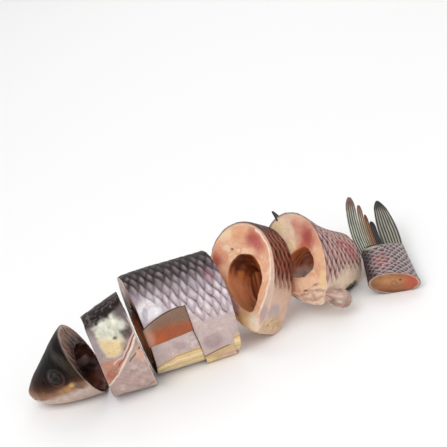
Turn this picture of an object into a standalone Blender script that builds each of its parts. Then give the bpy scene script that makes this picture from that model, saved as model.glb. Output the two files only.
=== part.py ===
"""A rohu, a carp of rivers and ponds, cut across into six pieces laid in a row from head to tail.

Metres, +Z up. The row runs along +X, with the snout at -X, and the fish's left side looks to -Y.
The origin is on the surface that the pieces rest on, under the middle of the row.

Each piece is modelled in the fish's own axes and hangs on an empty that sets it down in the row.
In the fish's axes x runs from the snout to the tail, y from its left side to its right side, and z
from belly to back. Sizes in this file are in millimetres.
"""

import math
from dataclasses import dataclass

import bmesh
import bpy
import numpy as np
from mathutils import Matrix, Vector

MM = 0.001

# The middle of the row's box, in the coordinates of the pieces' places.
ROW_MIDDLE = (1.0, 50.05)

# The fish's outline: distance from the snout, back, belly, half width, and the levels of the widest
# line and of the backbone as shares of the depth.
OUTLINE = (
    (0, 55, 43, 7, 0.50, 0.55),
    (4, 59, 37, 14, 0.50, 0.55),
    (10, 63, 32, 19, 0.50, 0.55),
    (20, 69, 26, 24, 0.50, 0.60),
    (35, 77, 19, 28, 0.50, 0.62),
    (50, 86, 14, 31, 0.50, 0.64),
    (67, 94, 9, 33, 0.52, 0.66),
    (92, 101, 4, 36, 0.55, 0.70),
    (117, 107, 0, 37, 0.58, 0.73),
    (150, 108, 0, 38, 0.60, 0.74),
    (202, 107, 0, 38, 0.62, 0.75),
    (230, 115, -4, 38, 0.64, 0.76),
    (262, 115, -3, 38, 0.64, 0.76),
    (284, 109, 3, 38, 0.62, 0.675),
    (297, 98, 7, 35, 0.60, 0.64),
    (310, 91, 11, 32, 0.60, 0.62),
    (330, 86, 16, 27, 0.57, 0.57),
    (356, 82, 23, 21, 0.55, 0.53),
    (378, 80, 29, 13, 0.50, 0.50),
    (420, 78, 32, 8, 0.50, 0.50),
    (450, 77, 33, 4, 0.50, 0.50),
)
OUTLINE_ROUNDING = 7.0

# How sharp the belly's edge is along the fish, from 0 for round to 1 for a wedge.
KEEL = ((202, 0.0), (226, 0.6), (284, 0.6), (330, 0.3), (378, 0.0))

AROUND = 40
LOOPS = 9
SHARP_ANGLE = 40.0
POCKET_LOOPS = 6
POCKET_END = 0.95
SNOUT_CROWDING = 1.6

# The level of a hollow's widest line as a share of its height.
HOLLOW_WIDEST = 0.6

# The backbone, and the clearance round it and round the eyes.
BONE_RADIUS = 4.6
BONE_AROUND = 14
BONE_PROUD = 0.5
BORE_REACH = 4.0
TAIL_BONE_RADII = (3.4, 2.2)
TAIL_BONE_LENGTH = 34.0
CLEARANCE = 0.3

EYE_PLACE = (42.0, 62.0)
EYE_RADIUS = 8.0
EYE_SHOWS = 3.0
EYE_SEGMENTS = (20, 12)

# The block that the pieces are cut flat on, in millimetres along each axis.
FLOOR_BLOCK = (800.0, 500.0, 100.0)

# The trimmed fin behind each gill cover: where it starts and ends along the fish, the lowest and
# highest level of each end, how far its upper edge bows upward and it stands off the skin, and how
# deep it goes in.
PECTORAL_FIN = ((119.0, 38.0, 58.0), (167.0, 43.0, 71.0))
PECTORAL_BOW = 4.0
PECTORAL_PROUD = 1.8
PATCH_ROOT = 2.0
PATCH_TUCK = 2.5
PATCH_POINTS = 6

# The belly wall that has slipped down and outward behind a slit, on the left, and how far it stands
# off the skin at its lower and upper edge.
BELLY_FLAP = ((168.0, -2.0, 34.0), (201.0, -1.0, 34.0))
BELLY_FLAP_PROUD = (3.0, 0.1)

# The tail fin's web and the torn blades that come out of it. Each edge has three points, at the
# root, half way and the tip, as distance, lift to the left and level.
TAIL_WEB = (((428, 0, 34), (448, 0.4, 34.5), (464, 1, 35)), ((428, 0, 79), (448, 0.4, 80.5), (464, 1, 82)))
TAIL_BLADES = (
    (((430, 0, 67.5), (476, 2, 70.5), (522, 12, 69.5)), ((430, 0, 79), (476, 2, 83), (526, 12.5, 78.5))),
    (((430, 0, 62), (472, 1, 64), (509, 9, 63.5)), ((430, 0, 67.7), (472, 1, 70.6), (513, 9, 69))),
    (((430, 0, 57.5), (464, 0.5, 59.7), (495, 5, 60)), ((430, 0, 62), (464, 0.5, 64), (499, 5, 64))),
    (((430, 0, 51.5), (460, 0, 53.5), (484, 2, 54)), ((430, 0, 57.5), (460, 0, 59.8), (489, 2, 60))),
    (((430, 0, 34), (472, 2, 33), (511, 9, 41)), ((430, 0, 51.5), (472, 2, 53.5), (514, 9.5, 49.5))),
)
WEB_THICKNESS = (2.4, 1.6)
BLADE_THICKNESS = (3.2, 1.2)
BLADE_LOOPS = 8
BLADE_TIP = 0.16
BLADE_TIP_LOOPS = (0.6, 0.9, 1.0)
BLADE_ROUND = 0.96
BLADE_RIM = 0.4

BACK_FIN_STUB = (((283, 0, 105), (283, 0, 111), (282.5, 0, 117)), ((296, 0, 101), (291, 0, 109), (286, 0, 116)))
VENT_FIN_STUB = (((322, 0, 24), (322, 0, 17), (325, 0, 13)), ((349, 0, 30), (349, 0, 22), (347, 0, 19)))

BACK_STUB_THICKNESS = (3.0, 1.6)
VENT_STUB_THICKNESS = (5.0, 2.0)

# The soft roll that hangs from the belly: points on its middle, each with its radius.
BELLY_ROLL = ((285, -9, 10, 5), (290, -13, 4, 8), (298, -15, 0, 10), (307, -13, 0, 8.5), (314, -9, 4, 4))
ROLL_AROUND = 16

COLOURS = {
    "head skin": ((0.075, 0.055, 0.048), 0.3),
    "skin": ((0.36, 0.29, 0.29), 0.35),
    "bone": ((0.83, 0.72, 0.54), 0.5),
    "eye": ((0.05, 0.04, 0.04), 0.1),
}


@dataclass
class Hollow:
    """A hollow: its lowest and highest level as shares of the depth, its width as a share of the
    body's, and how far a blind one goes in from the cut."""

    low: float
    high: float
    wide: float
    deep: float = 0.0


@dataclass
class Piece:
    """A length of the fish between two cuts, and how it lies.

    It is turned by yaw about the upright, its tail end lowered by pitch, and its back leant by lean
    to the fish's right, all in degrees. Its lowest point sinks below the surface by sink before it
    is cut flat there. A cut's tilt and skew shift it along the fish for each millimetre up and to the right.
    """

    name: str
    start: float
    end: float
    place: tuple
    yaw: float
    pitch: float
    lean: float
    sink: float
    front: Hollow = None
    rear: Hollow = None
    start_tilt: float = 0.0
    end_tilt: float = 0.0
    start_skew: float = 0.0
    end_skew: float = 0.0
    colour: str = "skin"


HEAD_FRONT = Piece(
    "head_front", 0, 67, (-172, 2), yaw=-5, pitch=-20, lean=0, sink=1.5,
    rear=Hollow(0.06, 0.68, 0.90, deep=38), colour="head skin",
)
HEAD_REAR = Piece(
    "head_rear", 73, 116, (-104.5, -16), yaw=8, pitch=-2, lean=4, sink=2, end_tilt=-0.04,
    front=Hollow(0.10, 0.62, 0.80), rear=Hollow(0.10, 0.64, 0.80), colour="head skin",
)
BODY_FRONT = Piece(
    "body_front", 115.5, 202, (-36.8, 8), yaw=3, pitch=2, lean=14, sink=2,
    start_tilt=-0.07, start_skew=-0.16, end_tilt=-0.05, end_skew=-0.22,
    front=Hollow(0.12, 0.66, 0.74), rear=Hollow(0.16, 0.68, 0.60),
)
STEAK_FRONT = Piece(
    "steak_front", 226, 260, (45, 34), yaw=50, pitch=40, lean=24, sink=2,
    front=Hollow(0.19, 0.71, 0.53), rear=Hollow(0.23, 0.52, 0.11),
)
STEAK_REAR = Piece(
    "steak_rear", 284, 356, (119, 50), yaw=40, pitch=28, lean=42, sink=2,
    front=Hollow(0.33, 0.60, 0.50, deep=45),
)
TAIL_END = Piece(
    "tail_end", 378, 438, (182, 38), yaw=86, pitch=-8, lean=83, sink=1.5, start_tilt=0.2,
)


def between(first, last, share):
    return first + share * (last - first)


def outline(s):
    """The outline's row at distance s, with its corners rounded off."""
    table = np.array(OUTLINE, float)
    spread = np.linspace(-OUTLINE_ROUNDING, OUTLINE_ROUNDING, 9) * min(1.0, s / OUTLINE_ROUNDING)
    at = np.clip(s + spread, 0, table[-1, 0])
    return [float(np.interp(at, table[:, 0], table[:, k]).mean()) for k in range(1, 6)]


def keel(s):
    """How sharp the belly's edge is at distance s."""
    return float(np.interp(s, *zip(*KEEL)))


def egg(angle, half_width, low, level, high, sharpness=0.0):
    """A point (y, z) of an egg, at an angle that goes from the fish's left side up over its back.
    Below its widest line it draws in to an edge by its sharpness."""
    across, up = math.cos(angle), math.sin(angle)
    if up > 0:
        return -half_width * across, level + (high - level) * up
    return -half_width * across * abs(across) ** sharpness, level + (level - low) * up


def skin_point(s, angle):
    high, low, half_width, share, _ = outline(s)
    return egg(angle, half_width, low, between(low, high, share), high, keel(s))


def hollow_point(s, angle, hollow):
    high, low, half_width, _, _ = outline(s)
    floor, roof = between(low, high, hollow.low), between(low, high, hollow.high)
    level = between(floor, roof, HOLLOW_WIDEST)
    return egg(angle, half_width * hollow.wide, floor, level, roof, keel(s))


def bone_point(s, angle, radius):
    high, low, _, _, share = outline(s)
    return -radius * math.cos(angle), between(low, high, share) + radius * math.sin(angle)


def skin_beside(s, z):
    """How far the skin is from the middle of the fish at distance s and level z."""
    high, low, half_width, share, _ = outline(s)
    level = between(low, high, share)
    reach = high - level if z > level else level - low
    return half_width * math.sqrt(max(0.0, 1 - ((z - level) / reach) ** 2))


def along(piece, s, y, z):
    """x of a point at distance s, between cuts that may slope and slew."""
    share = (s - piece.start) / (piece.end - piece.start)
    high, low = outline(s)[:2]
    tilt = between(piece.start_tilt, piece.end_tilt, share)
    skew = between(piece.start_skew, piece.end_skew, share)
    return s + tilt * (z - (high + low) / 2) + skew * y


def ring(piece, s, point, *details, count=AROUND):
    """The points round a section of the piece at distance s."""
    places = [point(s, math.tau * k / count, *details) for k in range(count)]
    return [Vector((along(piece, s, y, z), y, z)) for y, z in places]


def skin_rings(piece):
    """The skin's sections from one cut to the other, closer together at the snout."""
    shares = np.linspace(0, 1, LOOPS)
    if piece.start == 0:
        shares = shares ** SNOUT_CROWDING
    return [ring(piece, between(piece.start, piece.end, share), skin_point) for share in shares]


def tunnel_rings(piece):
    """The sections of a hollow that goes right through, from the rear cut to the front."""
    rings = []
    for share in np.linspace(1, 0, LOOPS):
        hollow = Hollow(
            between(piece.front.low, piece.rear.low, share),
            between(piece.front.high, piece.rear.high, share),
            between(piece.front.wide, piece.rear.wide, share),
        )
        rings.append(ring(piece, between(piece.start, piece.end, share), hollow_point, hollow))
    return rings


def pocket_rings(piece, mouth, inward, hollow):
    """The sections of a blind hollow, from its mouth to its rounded end."""
    rings = []
    middle = (hollow.low + hollow.high) / 2
    for share in np.linspace(0, POCKET_END, POCKET_LOOPS):
        narrow = math.sqrt(1 - share ** 3)
        reach = narrow * (hollow.high - hollow.low) / 2
        inner = Hollow(middle - reach, middle + reach, hollow.wide * narrow)
        rings.append(ring(piece, mouth + inward * share * hollow.deep, hollow_point, inner))
    return rings


def loft(name, rings, closed=False):
    """A closed mesh through rings of points, joined last to first or with a fan over each end."""
    mesh = bmesh.new()
    rows = [[mesh.verts.new(point * MM) for point in points] for points in rings]
    pairs = list(zip(rows, rows[1:]))
    if closed:
        pairs.append((rows[-1], rows[0]))
    for first, second in pairs:
        for k in range(len(first)):
            after = (k + 1) % len(first)
            mesh.faces.new((first[k], first[after], second[after], second[k]))
    if not closed:
        for row in (rows[0], rows[-1]):
            middle = mesh.verts.new(sum((vert.co for vert in row), Vector()) / len(row))
            for k in range(len(row)):
                mesh.faces.new((row[k], row[(k + 1) % len(row)], middle))
    bmesh.ops.recalc_face_normals(mesh, faces=mesh.faces)
    data = bpy.data.meshes.new(name)
    mesh.to_mesh(data)
    mesh.free()
    data.shade_smooth()
    data.set_sharp_from_angle(angle=math.radians(SHARP_ANGLE))
    return bpy.data.objects.new(name, data)


def flesh(piece):
    """The piece's skin and flesh with its hollow."""
    skin = skin_rings(piece)
    if piece.front and piece.rear:
        return loft(piece.name, skin + tunnel_rings(piece), closed=True)
    if piece.front:
        return loft(piece.name, skin[::-1] + pocket_rings(piece, piece.start, 1, piece.front))
    if piece.rear:
        return loft(piece.name, skin + pocket_rings(piece, piece.end, -1, piece.rear))
    return loft(piece.name, skin)


def skin_patch(name, piece, edges, proud, side, bow=0.0):
    """A slab that lies on the skin between two levels at each end, and roots in it. Its upper edge
    bows upward."""
    (start, low_0, high_0), (end, low_1, high_1) = edges
    rings = []
    for share in np.linspace(0, 1, PATCH_POINTS):
        s = between(start, end, share)
        low = between(low_0, low_1, share)
        high = between(high_0, high_1, share) + 4 * bow * share * (1 - share)
        outer, inner = [], []
        for up in np.linspace(0, 1, PATCH_POINTS):
            z = between(low, high, up)
            off = skin_beside(s, max(z, PATCH_TUCK))
            out = off + between(*proud, up)
            outer.append(Vector((along(piece, s, 0, z), side * out, z)))
            inner.append(Vector((along(piece, s, 0, z), side * (off - PATCH_ROOT), z)))
        rings.append(outer + inner[::-1])
    return loft(name, rings)


def curve_point(points, share):
    """A point of the smooth curve through three points."""
    first, middle, last = (Vector(point) for point in points)
    weights = (1 - share) * (1 - 2 * share), 4 * share * (1 - share), share * (2 * share - 1)
    return first * weights[0] + middle * weights[1] + last * weights[2]


def blade_shares():
    """Where a blade's sections lie along it, closer together in its rounded tip."""
    tip = 1 - BLADE_TIP * (1 - np.array(BLADE_TIP_LOOPS))
    return np.concatenate([np.linspace(0, 1 - BLADE_TIP, BLADE_LOOPS - len(tip)), tip])


def tip_width(share):
    """A blade's width at a share of its length, as a share of the full width."""
    into_tip = max(0.0, (share - 1 + BLADE_TIP) / BLADE_TIP)
    return math.sqrt(1 - (BLADE_ROUND * into_tip) ** 2)


def blade(name, edges, thickness):
    """A thin fin between two curved edges, thinner at its rims and round at its tip. Its points are
    given as distance, lift to the left and level."""
    rings = []
    for share in blade_shares():
        first, last = (curve_point(edge, share) for edge in edges)
        width = tip_width(share)
        half = between(*thickness, share) / 2
        left, right = [], []
        for across, full in ((0, BLADE_RIM), (0.25, 1), (0.5, 1), (0.75, 1), (1, BLADE_RIM)):
            distance, lift, level = first.lerp(last, 0.5 + (across - 0.5) * width)
            left.append(Vector((distance, -lift - half * full, level)))
            right.append(Vector((distance, -lift + half * full, level)))
        rings.append(left + right[::-1])
    return loft(name, rings)


def roll(name, places):
    """A soft roll through the given points, each with its radius."""
    rings = []
    for x, y, z, radius in places:
        turns = (math.tau * k / ROLL_AROUND for k in range(ROLL_AROUND))
        rings.append([Vector((x, y - radius * math.cos(a), z + radius * math.sin(a))) for a in turns])
    return loft(name, rings)


def backbone(name, piece, end, radii, past_start, past_end):
    """A straight length of backbone from the front cut to distance end, and a little past both."""
    stations = ((piece.start, radii[0]), (end, radii[1]))
    front, rear = (ring(piece, s, bone_point, radius, count=BONE_AROUND) for s, radius in stations)
    length = end - piece.start
    shares = (-past_start / length, 1 + past_end / length)
    return loft(name, [[a.lerp(b, share) for a, b in zip(front, rear)] for share in shares])


def eyeball(name, side, radius):
    """An eye that shows as a cap on the side of the head."""
    s, z = EYE_PLACE
    mesh = bmesh.new()
    around, down = EYE_SEGMENTS
    bmesh.ops.create_uvsphere(mesh, u_segments=around, v_segments=down, radius=radius * MM)
    middle = Vector((s, side * (skin_beside(s, z) - EYE_RADIUS + EYE_SHOWS), z)) * MM
    bmesh.ops.translate(mesh, vec=middle, verts=mesh.verts)
    data = bpy.data.meshes.new(name)
    mesh.to_mesh(data)
    mesh.free()
    data.shade_smooth()
    return bpy.data.objects.new(name, data)


def paint(made, colour):
    """Give a piece a plain material of its own."""
    base, roughness = COLOURS[colour]
    material = bpy.data.materials.new(made.name)
    material.use_nodes = True
    shader = material.node_tree.nodes["Principled BSDF"]
    shader.inputs["Base Color"].default_value = (*base, 1)
    shader.inputs["Roughness"].default_value = roughness
    made.data.materials.append(material)


def pose(piece):
    """The matrix that turns a piece and sets it down, its lowest point a little under the surface."""
    turn = (
        Matrix.Rotation(math.radians(piece.yaw), 4, "Z")
        @ Matrix.Rotation(math.radians(piece.pitch), 4, "Y")
        @ Matrix.Rotation(math.radians(-piece.lean), 4, "X")
    )
    s = (piece.start + piece.end) / 2
    high, low = outline(s)[:2]
    centre = Vector((s, 0, (high + low) / 2))
    lowest = min((turn @ (point - centre)).z for points in skin_rings(piece) for point in points)
    x, y = (place - middle for place, middle in zip(piece.place, ROW_MIDDLE))
    place = Vector((x, y, -lowest - piece.sink))
    return Matrix.Translation(place * MM) @ turn @ Matrix.Translation(-centre * MM)


class Build:
    """The collections that the fish's pieces and their cutters go in."""

    def __init__(self):
        self.parts = self.collection("Rohu")
        self.tools = self.collection("Cutters")
        self.floor = self.floor_cutter()

    @staticmethod
    def collection(name):
        made = bpy.data.collections.new(name)
        bpy.context.scene.collection.children.link(made)
        return made

    def part(self, made, colour, carrier):
        paint(made, colour)
        made.parent = carrier
        self.parts.objects.link(made)
        return made

    def tool(self, made, carrier=None):
        made.hide_render = True
        made.display_type = "WIRE"
        made.parent = carrier
        self.tools.objects.link(made)
        return made

    def floor_cutter(self):
        mesh = bmesh.new()
        bmesh.ops.create_cube(mesh, size=1.0)
        data = bpy.data.meshes.new("floor_cutter")
        mesh.to_mesh(data)
        mesh.free()
        size = Vector(FLOOR_BLOCK) * MM
        data.transform(Matrix.Translation((0, 0, -size.z / 2)) @ Matrix.Diagonal((*size, 1)))
        return self.tool(bpy.data.objects.new("floor_cutter", data))

    def carrier(self, piece):
        """The empty that carries all that belongs to a piece."""
        made = bpy.data.objects.new("place_" + piece.name, None)
        made.matrix_world = pose(piece)
        self.parts.objects.link(made)
        return made

    def piece(self, piece, fins=(), holes=()):
        """A piece with its fins joined on and its holes cut, flat where it rests."""
        carrier = self.carrier(piece)
        made = self.part(flesh(piece), piece.colour, carrier)
        for fin in fins:
            combine(made, self.tool(fin, carrier), "UNION")
        for hole in holes:
            combine(made, self.tool(hole, carrier), "DIFFERENCE")
        combine(made, self.floor, "DIFFERENCE")
        return carrier


def combine(made, other, operation):
    boolean = made.modifiers.new(other.name, "BOOLEAN")
    boolean.operation = operation
    boolean.object = other


def boned_piece(build, piece, fins=(), through=True):
    """A piece with its length of backbone, which shows at the cuts that it reaches."""
    end = piece.end if through else piece.start + TAIL_BONE_LENGTH
    radii = (BONE_RADIUS, BONE_RADIUS) if through else TAIL_BONE_RADII
    bore_radii = [radius + CLEARANCE for radius in radii]
    past_end = (BONE_PROUD, BORE_REACH) if through else (0, CLEARANCE)
    bore = backbone("bore_" + piece.name, piece, end, bore_radii, BORE_REACH, past_end[1])
    carrier = build.piece(piece, fins, [bore])
    bone = backbone("backbone_" + piece.name, piece, end, radii, BONE_PROUD, past_end[0])
    build.part(bone, "bone", carrier)


def head(build):
    """The head in two pieces, its eyes in the front one."""
    sockets = [eyeball("socket" + str(side), side, EYE_RADIUS + CLEARANCE) for side in (-1, 1)]
    carrier = build.piece(HEAD_FRONT, holes=sockets)
    for name, side in (("eye_left", -1), ("eye_right", 1)):
        build.part(eyeball(name, side, EYE_RADIUS), "eye", carrier)
    build.piece(HEAD_REAR)


def body(build):
    """The scaly piece with a trimmed fin on each side and the slipped belly wall."""
    proud = (PECTORAL_PROUD, PECTORAL_PROUD)
    fins = [
        skin_patch("fin" + str(side), BODY_FRONT, PECTORAL_FIN, proud, side, PECTORAL_BOW) for side in (-1, 1)
    ]
    flap = skin_patch("belly_flap", BODY_FRONT, BELLY_FLAP, BELLY_FLAP_PROUD, -1)
    boned_piece(build, BODY_FRONT, fins + [flap])


def steaks(build):
    """The two thick slices behind the body, the rear one with stubs of fins and a roll of belly."""
    boned_piece(build, STEAK_FRONT)
    fins = [
        blade("back_fin_stub", BACK_FIN_STUB, BACK_STUB_THICKNESS),
        blade("vent_fin_stub", VENT_FIN_STUB, VENT_STUB_THICKNESS),
        roll("belly_roll", BELLY_ROLL),
    ]
    boned_piece(build, STEAK_REAR, fins)


def tail(build):
    """The tail end, with its torn fin joined on."""
    fins = [blade("web", TAIL_WEB, WEB_THICKNESS)]
    fins += [blade("blade_" + str(k), edges, BLADE_THICKNESS) for k, edges in enumerate(TAIL_BLADES)]
    boned_piece(build, TAIL_END, fins, through=False)


def main():
    for old in list(bpy.data.objects):
        bpy.data.objects.remove(old)
    build = Build()
    head(build)
    body(build)
    steaks(build)
    tail(build)


main()
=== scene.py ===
"""The looks of a rohu that is cut across into six pieces and laid in a row from head to tail.

Sizes are in millimetres and in the fish's own axes until a piece is set down: x runs from the snout
to the tail, y from the fish's left side to its right side, and z from belly to back. Each piece is
a fine grid of rings that replaces its plain solid. Its relief is in the grid, its broad colours are
in the grid's colour attribute, and the materials add the fine grain.
"""

import math
from dataclasses import dataclass, field

import bpy
import numpy as np
from mathutils import Matrix, Vector


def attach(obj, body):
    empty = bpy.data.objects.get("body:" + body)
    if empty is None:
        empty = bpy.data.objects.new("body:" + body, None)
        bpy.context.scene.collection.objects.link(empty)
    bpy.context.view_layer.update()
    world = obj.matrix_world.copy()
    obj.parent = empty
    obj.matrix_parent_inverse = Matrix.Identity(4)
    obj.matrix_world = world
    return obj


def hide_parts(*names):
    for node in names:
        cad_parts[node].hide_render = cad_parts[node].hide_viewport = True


MM = 0.001

# The middle of the row's box, by the x and y that the places of the pieces are given in.
ROW_MIDDLE = (1.0, 50.05)

# The fish's outline: distance from the snout, back, belly, half width, and the levels of the widest
# line and of the backbone as shares of the depth.
OUTLINE = (
    (0, 55, 43, 7, 0.50, 0.55),
    (4, 59, 37, 14, 0.50, 0.55),
    (10, 63, 32, 19, 0.50, 0.55),
    (20, 69, 26, 24, 0.50, 0.60),
    (35, 77, 19, 28, 0.50, 0.62),
    (50, 86, 14, 31, 0.50, 0.64),
    (67, 94, 9, 33, 0.52, 0.66),
    (92, 101, 4, 36, 0.55, 0.70),
    (117, 107, 0, 37, 0.58, 0.73),
    (150, 108, 0, 38, 0.60, 0.74),
    (202, 107, 0, 38, 0.62, 0.75),
    (230, 115, -4, 38, 0.64, 0.76),
    (262, 115, -3, 38, 0.64, 0.76),
    (284, 109, 3, 38, 0.62, 0.675),
    (297, 98, 7, 35, 0.60, 0.64),
    (310, 91, 11, 32, 0.60, 0.62),
    (330, 86, 16, 27, 0.57, 0.57),
    (356, 82, 23, 21, 0.55, 0.53),
    (378, 80, 29, 13, 0.50, 0.50),
    (420, 78, 32, 8, 0.50, 0.50),
    (450, 77, 33, 4, 0.50, 0.50),
)
OUTLINE_ROUNDING = 7.0

# How sharp the belly's edge is along the fish, from 0 for round to 1 for a wedge.
KEEL = ((202, 0.0), (226, 0.6), (284, 0.6), (330, 0.3), (378, 0.0))

# A hollow: the level of its widest line as a share of its height, and where its lower left corner is
# and how wide it is, in degrees round the hollow.
HOLLOW_WIDEST = 0.6
CORNER_ANGLE = 318
CORNER_SPREAD = 40

# The grid: points round a ring, the step between rings on the skin, rings on a cut, and the step
# between rings in a hollow, whose wall is uneven by a share of its width.
AROUND = 384
ALONG = 0.68
CUT_ROWS = 30
HOLLOW_STEP = 2.0
HOLLOW_UNEVEN = 0.10

# How far the tip of the snout is rounded out.
SNOUT_BULGE = 1.6

# The backbone: its radius, how far it stands out of a cut, how much thinner a vertebra is at its
# middle, how long a vertebra is, and how deep its end is dished.
BONE_RADIUS = 4.6
BONE_PROUD = 0.5
BONE_WAIST = 0.06
BONE_LENGTH = 8.0
BONE_DISH = 1.0
TAIL_BONE_RADII = (3.4, 2.2)
TAIL_BONE_LENGTH = 34.0

# An eye: its distance and level, its radius, and how far it stands out of the head.
EYE_PLACE = (42.0, 62.0)
EYE_RADIUS = 8.0
EYE_SHOWS = 3.0

# Slabs on the skin, each as distance and its lower and upper level at either end. The fin's upper
# edge bows up. A slab reaches under the skin by its root and keeps off the keel by its tuck.
PECTORAL_FIN = ((119.0, 38.0, 58.0), (167.0, 43.0, 71.0))
PECTORAL_PROUD = 1.8
PECTORAL_RAYS = 15
PECTORAL_BOW = 4.0
PATCH_ROOT = 2.0
PATCH_TUCK = 2.5

# The slipped belly wall, and how far it stands out at its lower and its upper edge.
BELLY_FLAP = ((168.0, -2.0, 34.0), (201.0, -1.0, 34.0))
BELLY_FLAP_PROUD = (3.0, 0.1)

# The tail fin's web, shorter than its solid, and the torn blades that come out of it. Each edge has
# three points, at the root, half way and the tip, as distance, lift to the left and level.
TAIL_WEB = (
    ((428, 0, 34), (437, 0.2, 34), (446, 0.4, 34.5)),
    ((428, 0, 79), (437, 0.2, 79.5), (446, 0.4, 80)),
)
TAIL_BLADES = (
    (((430, 0, 67.5), (476, 2, 70.5), (522, 12, 69.5)), ((430, 0, 79), (476, 2, 83), (526, 12.5, 78.5))),
    (((430, 0, 62), (472, 1, 64), (509, 9, 63.5)), ((430, 0, 67.7), (472, 1, 70.6), (513, 9, 69))),
    (((430, 0, 57.5), (464, 0.5, 59.7), (495, 5, 60)), ((430, 0, 62), (464, 0.5, 64), (499, 5, 64))),
    (((430, 0, 51.5), (460, 0, 53.5), (484, 2, 54)), ((430, 0, 57.5), (460, 0, 59.8), (489, 2, 60))),
    (((430, 0, 34), (472, 2, 33), (511, 9, 41)), ((430, 0, 51.5), (472, 2, 53.5), (514, 9.5, 49.5))),
)

# The web's and the blades' thickness at the root and the tip.
WEB_THICKNESS = (2.4, 1.6)
BLADE_THICKNESS = (3.2, 1.2)

# The round tip of a web or blade: what share of the length it takes, how much of a full round it
# makes, and how deep the notches between its rays are as a share of the length.
BLADE_TIP = 0.16
BLADE_ROUND = 0.96
TIP_NOTCH = 0.05

# Each blade's rays, and the colours of its skin, rays, rims and tip.
BLADE_LOOKS = (
    (5, ("34372f", "bfc0b2", "cfcfc2", "6b4234")),
    (3, ("4c3c30", "b3a890", "c9c5b4", "7a4638")),
    (2, ("5e3020", "9a6a48", "8c7458", "6e2c22")),
    (3, ("1a1615", "3c3632", "2a2422", "161211")),
    (7, ("2b2c24", "a8a496", "2c2c28", "1a1817")),
)
WEB_LOOK = (18, ("2e2a26", "5a564e", "2a2622", "2a2622"))
STUB_TONES = ("3a3430", "57504a", "2a2422", "161312")

# The stubs of two cut fins on the rear slice, and their thickness at the root and the tip.
BACK_FIN_STUB = (
    ((283, 0, 105), (283, 0, 111), (282.5, 0, 117)),
    ((296, 0, 101), (291, 0, 109), (286, 0, 116)),
)
VENT_FIN_STUB = (
    ((322, 0, 24), (322, 0, 17), (325, 0, 13)),
    ((349, 0, 30), (349, 0, 22), (347, 0, 19)),
)
BACK_STUB_THICKNESS = (3.0, 1.6)
VENT_STUB_THICKNESS = (5.0, 2.0)

# The roll of belly under the rear slice: its middle line, each with x, y, z and radius.
BELLY_ROLL = ((285, -9, 10, 5), (290, -13, 4, 8), (298, -15, 0, 10), (307, -13, 0, 8.5), (314, -9, 4, 4))

# The sheet of lining in the front slice's hollow: its distance, thickness, and how far it goes into
# the wall as a share of the hollow's width.
LINING_AT = 250.0
LINING_THICKNESS = 1.5
LINING_REACH = 1.1

# How far what is painted strays from its place, and over what distance.
UNEVEN = 1.3
UNEVEN_SIZE = 6.0

# Bands in cut muscle, from the skin to the middle.
MUSCLE_BANDS = 4.5

# Lines and fields on the head, by distance along the fish and level.
MOUTH_LINE = ((0, 49), (6, 48), (13, 47.5), (18, 45))
CHEEK_GROOVES = (
    ((49, 52), (53, 56), (54.5, 64), (52, 71)),
    ((58, 50), (60.5, 58), (60, 70), (56, 78)),
)
CHEEK_PATCH = (
    (82, 92), (93, 95), (104, 96), (110, 93), (111, 87), (105, 82), (102, 76), (101, 70), (96, 65),
    (90, 62), (85, 64), (81, 72), (79, 82),
)
GILL_FLAP = ((73, 35), (73, 60), (84, 60), (92, 59), (98, 55), (86, 43))
GILL_EDGE = ((73, 33), (86, 43), (97, 54), (108, 66), (116, 75))
GILL_GAP = ((88, 50), (97, 58), (108, 69.5), (116, 77.5))
GILL_FOLD = ((86, 56), (97, 61), (108, 72), (116, 80))
GILL_COVER = ((70, 31), (86, 42), (97, 53), (108, 65), (120, 77), (120, 101), (70, 92))

# The slit in front of the slipped belly wall, on the left side.
BELLY_SLIT = ((159, 43), (161.5, 26), (164, 12), (165.5, 4))

# On the front slice's cut, by y and level: where the belly wall folds outward, and that fold's edge.
FOLDED_WALL = ((-36, 62), (-29, 44), (-17, 27), (-6, 13), (-4, -6), (-24, -6), (-40, 40))
FOLDED_EDGE = ((-26, 99), (-33, 82), (-35, 66), (-28, 44), (-16, 27), (-6, 14))

# On the rear slice's cut: the torn edge of the wall under the hollow, from the right to the left.
LOWER_FLAP = ((26, 33), (18, 28), (9, 26), (0, 21.5), (-9, 19), (-16, 10))

# How far light spreads in flesh, in metres of red, green and blue.
LIGHT_REACH = (0.004, 0.0016, 0.001)

# What would lie below this level, in millimetres, is pressed flat between it and the board.
SOFT_REST = 0.6

# Scales: their length along the fish, how many rows a side has, how many rows each one reaches over
# its own, how far its free edge bulges as a share of its length, and how high the edge stands.
SCALE_LENGTH = 8.3
SCALE_ROWS = 15
SCALE_SPREAD = 1.15
SCALE_BULGE = 0.95
SCALE_LIFT = 0.6

# The section that rows of scales are counted on: half width, belly, widest line and back.
TYPICAL_SECTION = (38.0, 0.0, 65.0, 108.0)


@dataclass
class Hollow:
    """A hollow: its lowest and highest level as shares of the depth, its width as a share of the
    body's, how far a blind one goes in from the cut, and how far its lower left corner stands out
    or in as a share of its size."""

    low: float
    high: float
    wide: float
    deep: float = 0.0
    corner: float = 0.0


@dataclass
class Piece:
    """A length of the fish between two cuts, and how it lies."""

    name: str
    start: float
    end: float
    place: tuple
    yaw: float
    pitch: float
    lean: float
    sink: float
    front: Hollow = None
    rear: Hollow = None
    start_tilt: float = 0.0
    end_tilt: float = 0.0
    start_skew: float = 0.0
    end_skew: float = 0.0


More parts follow.
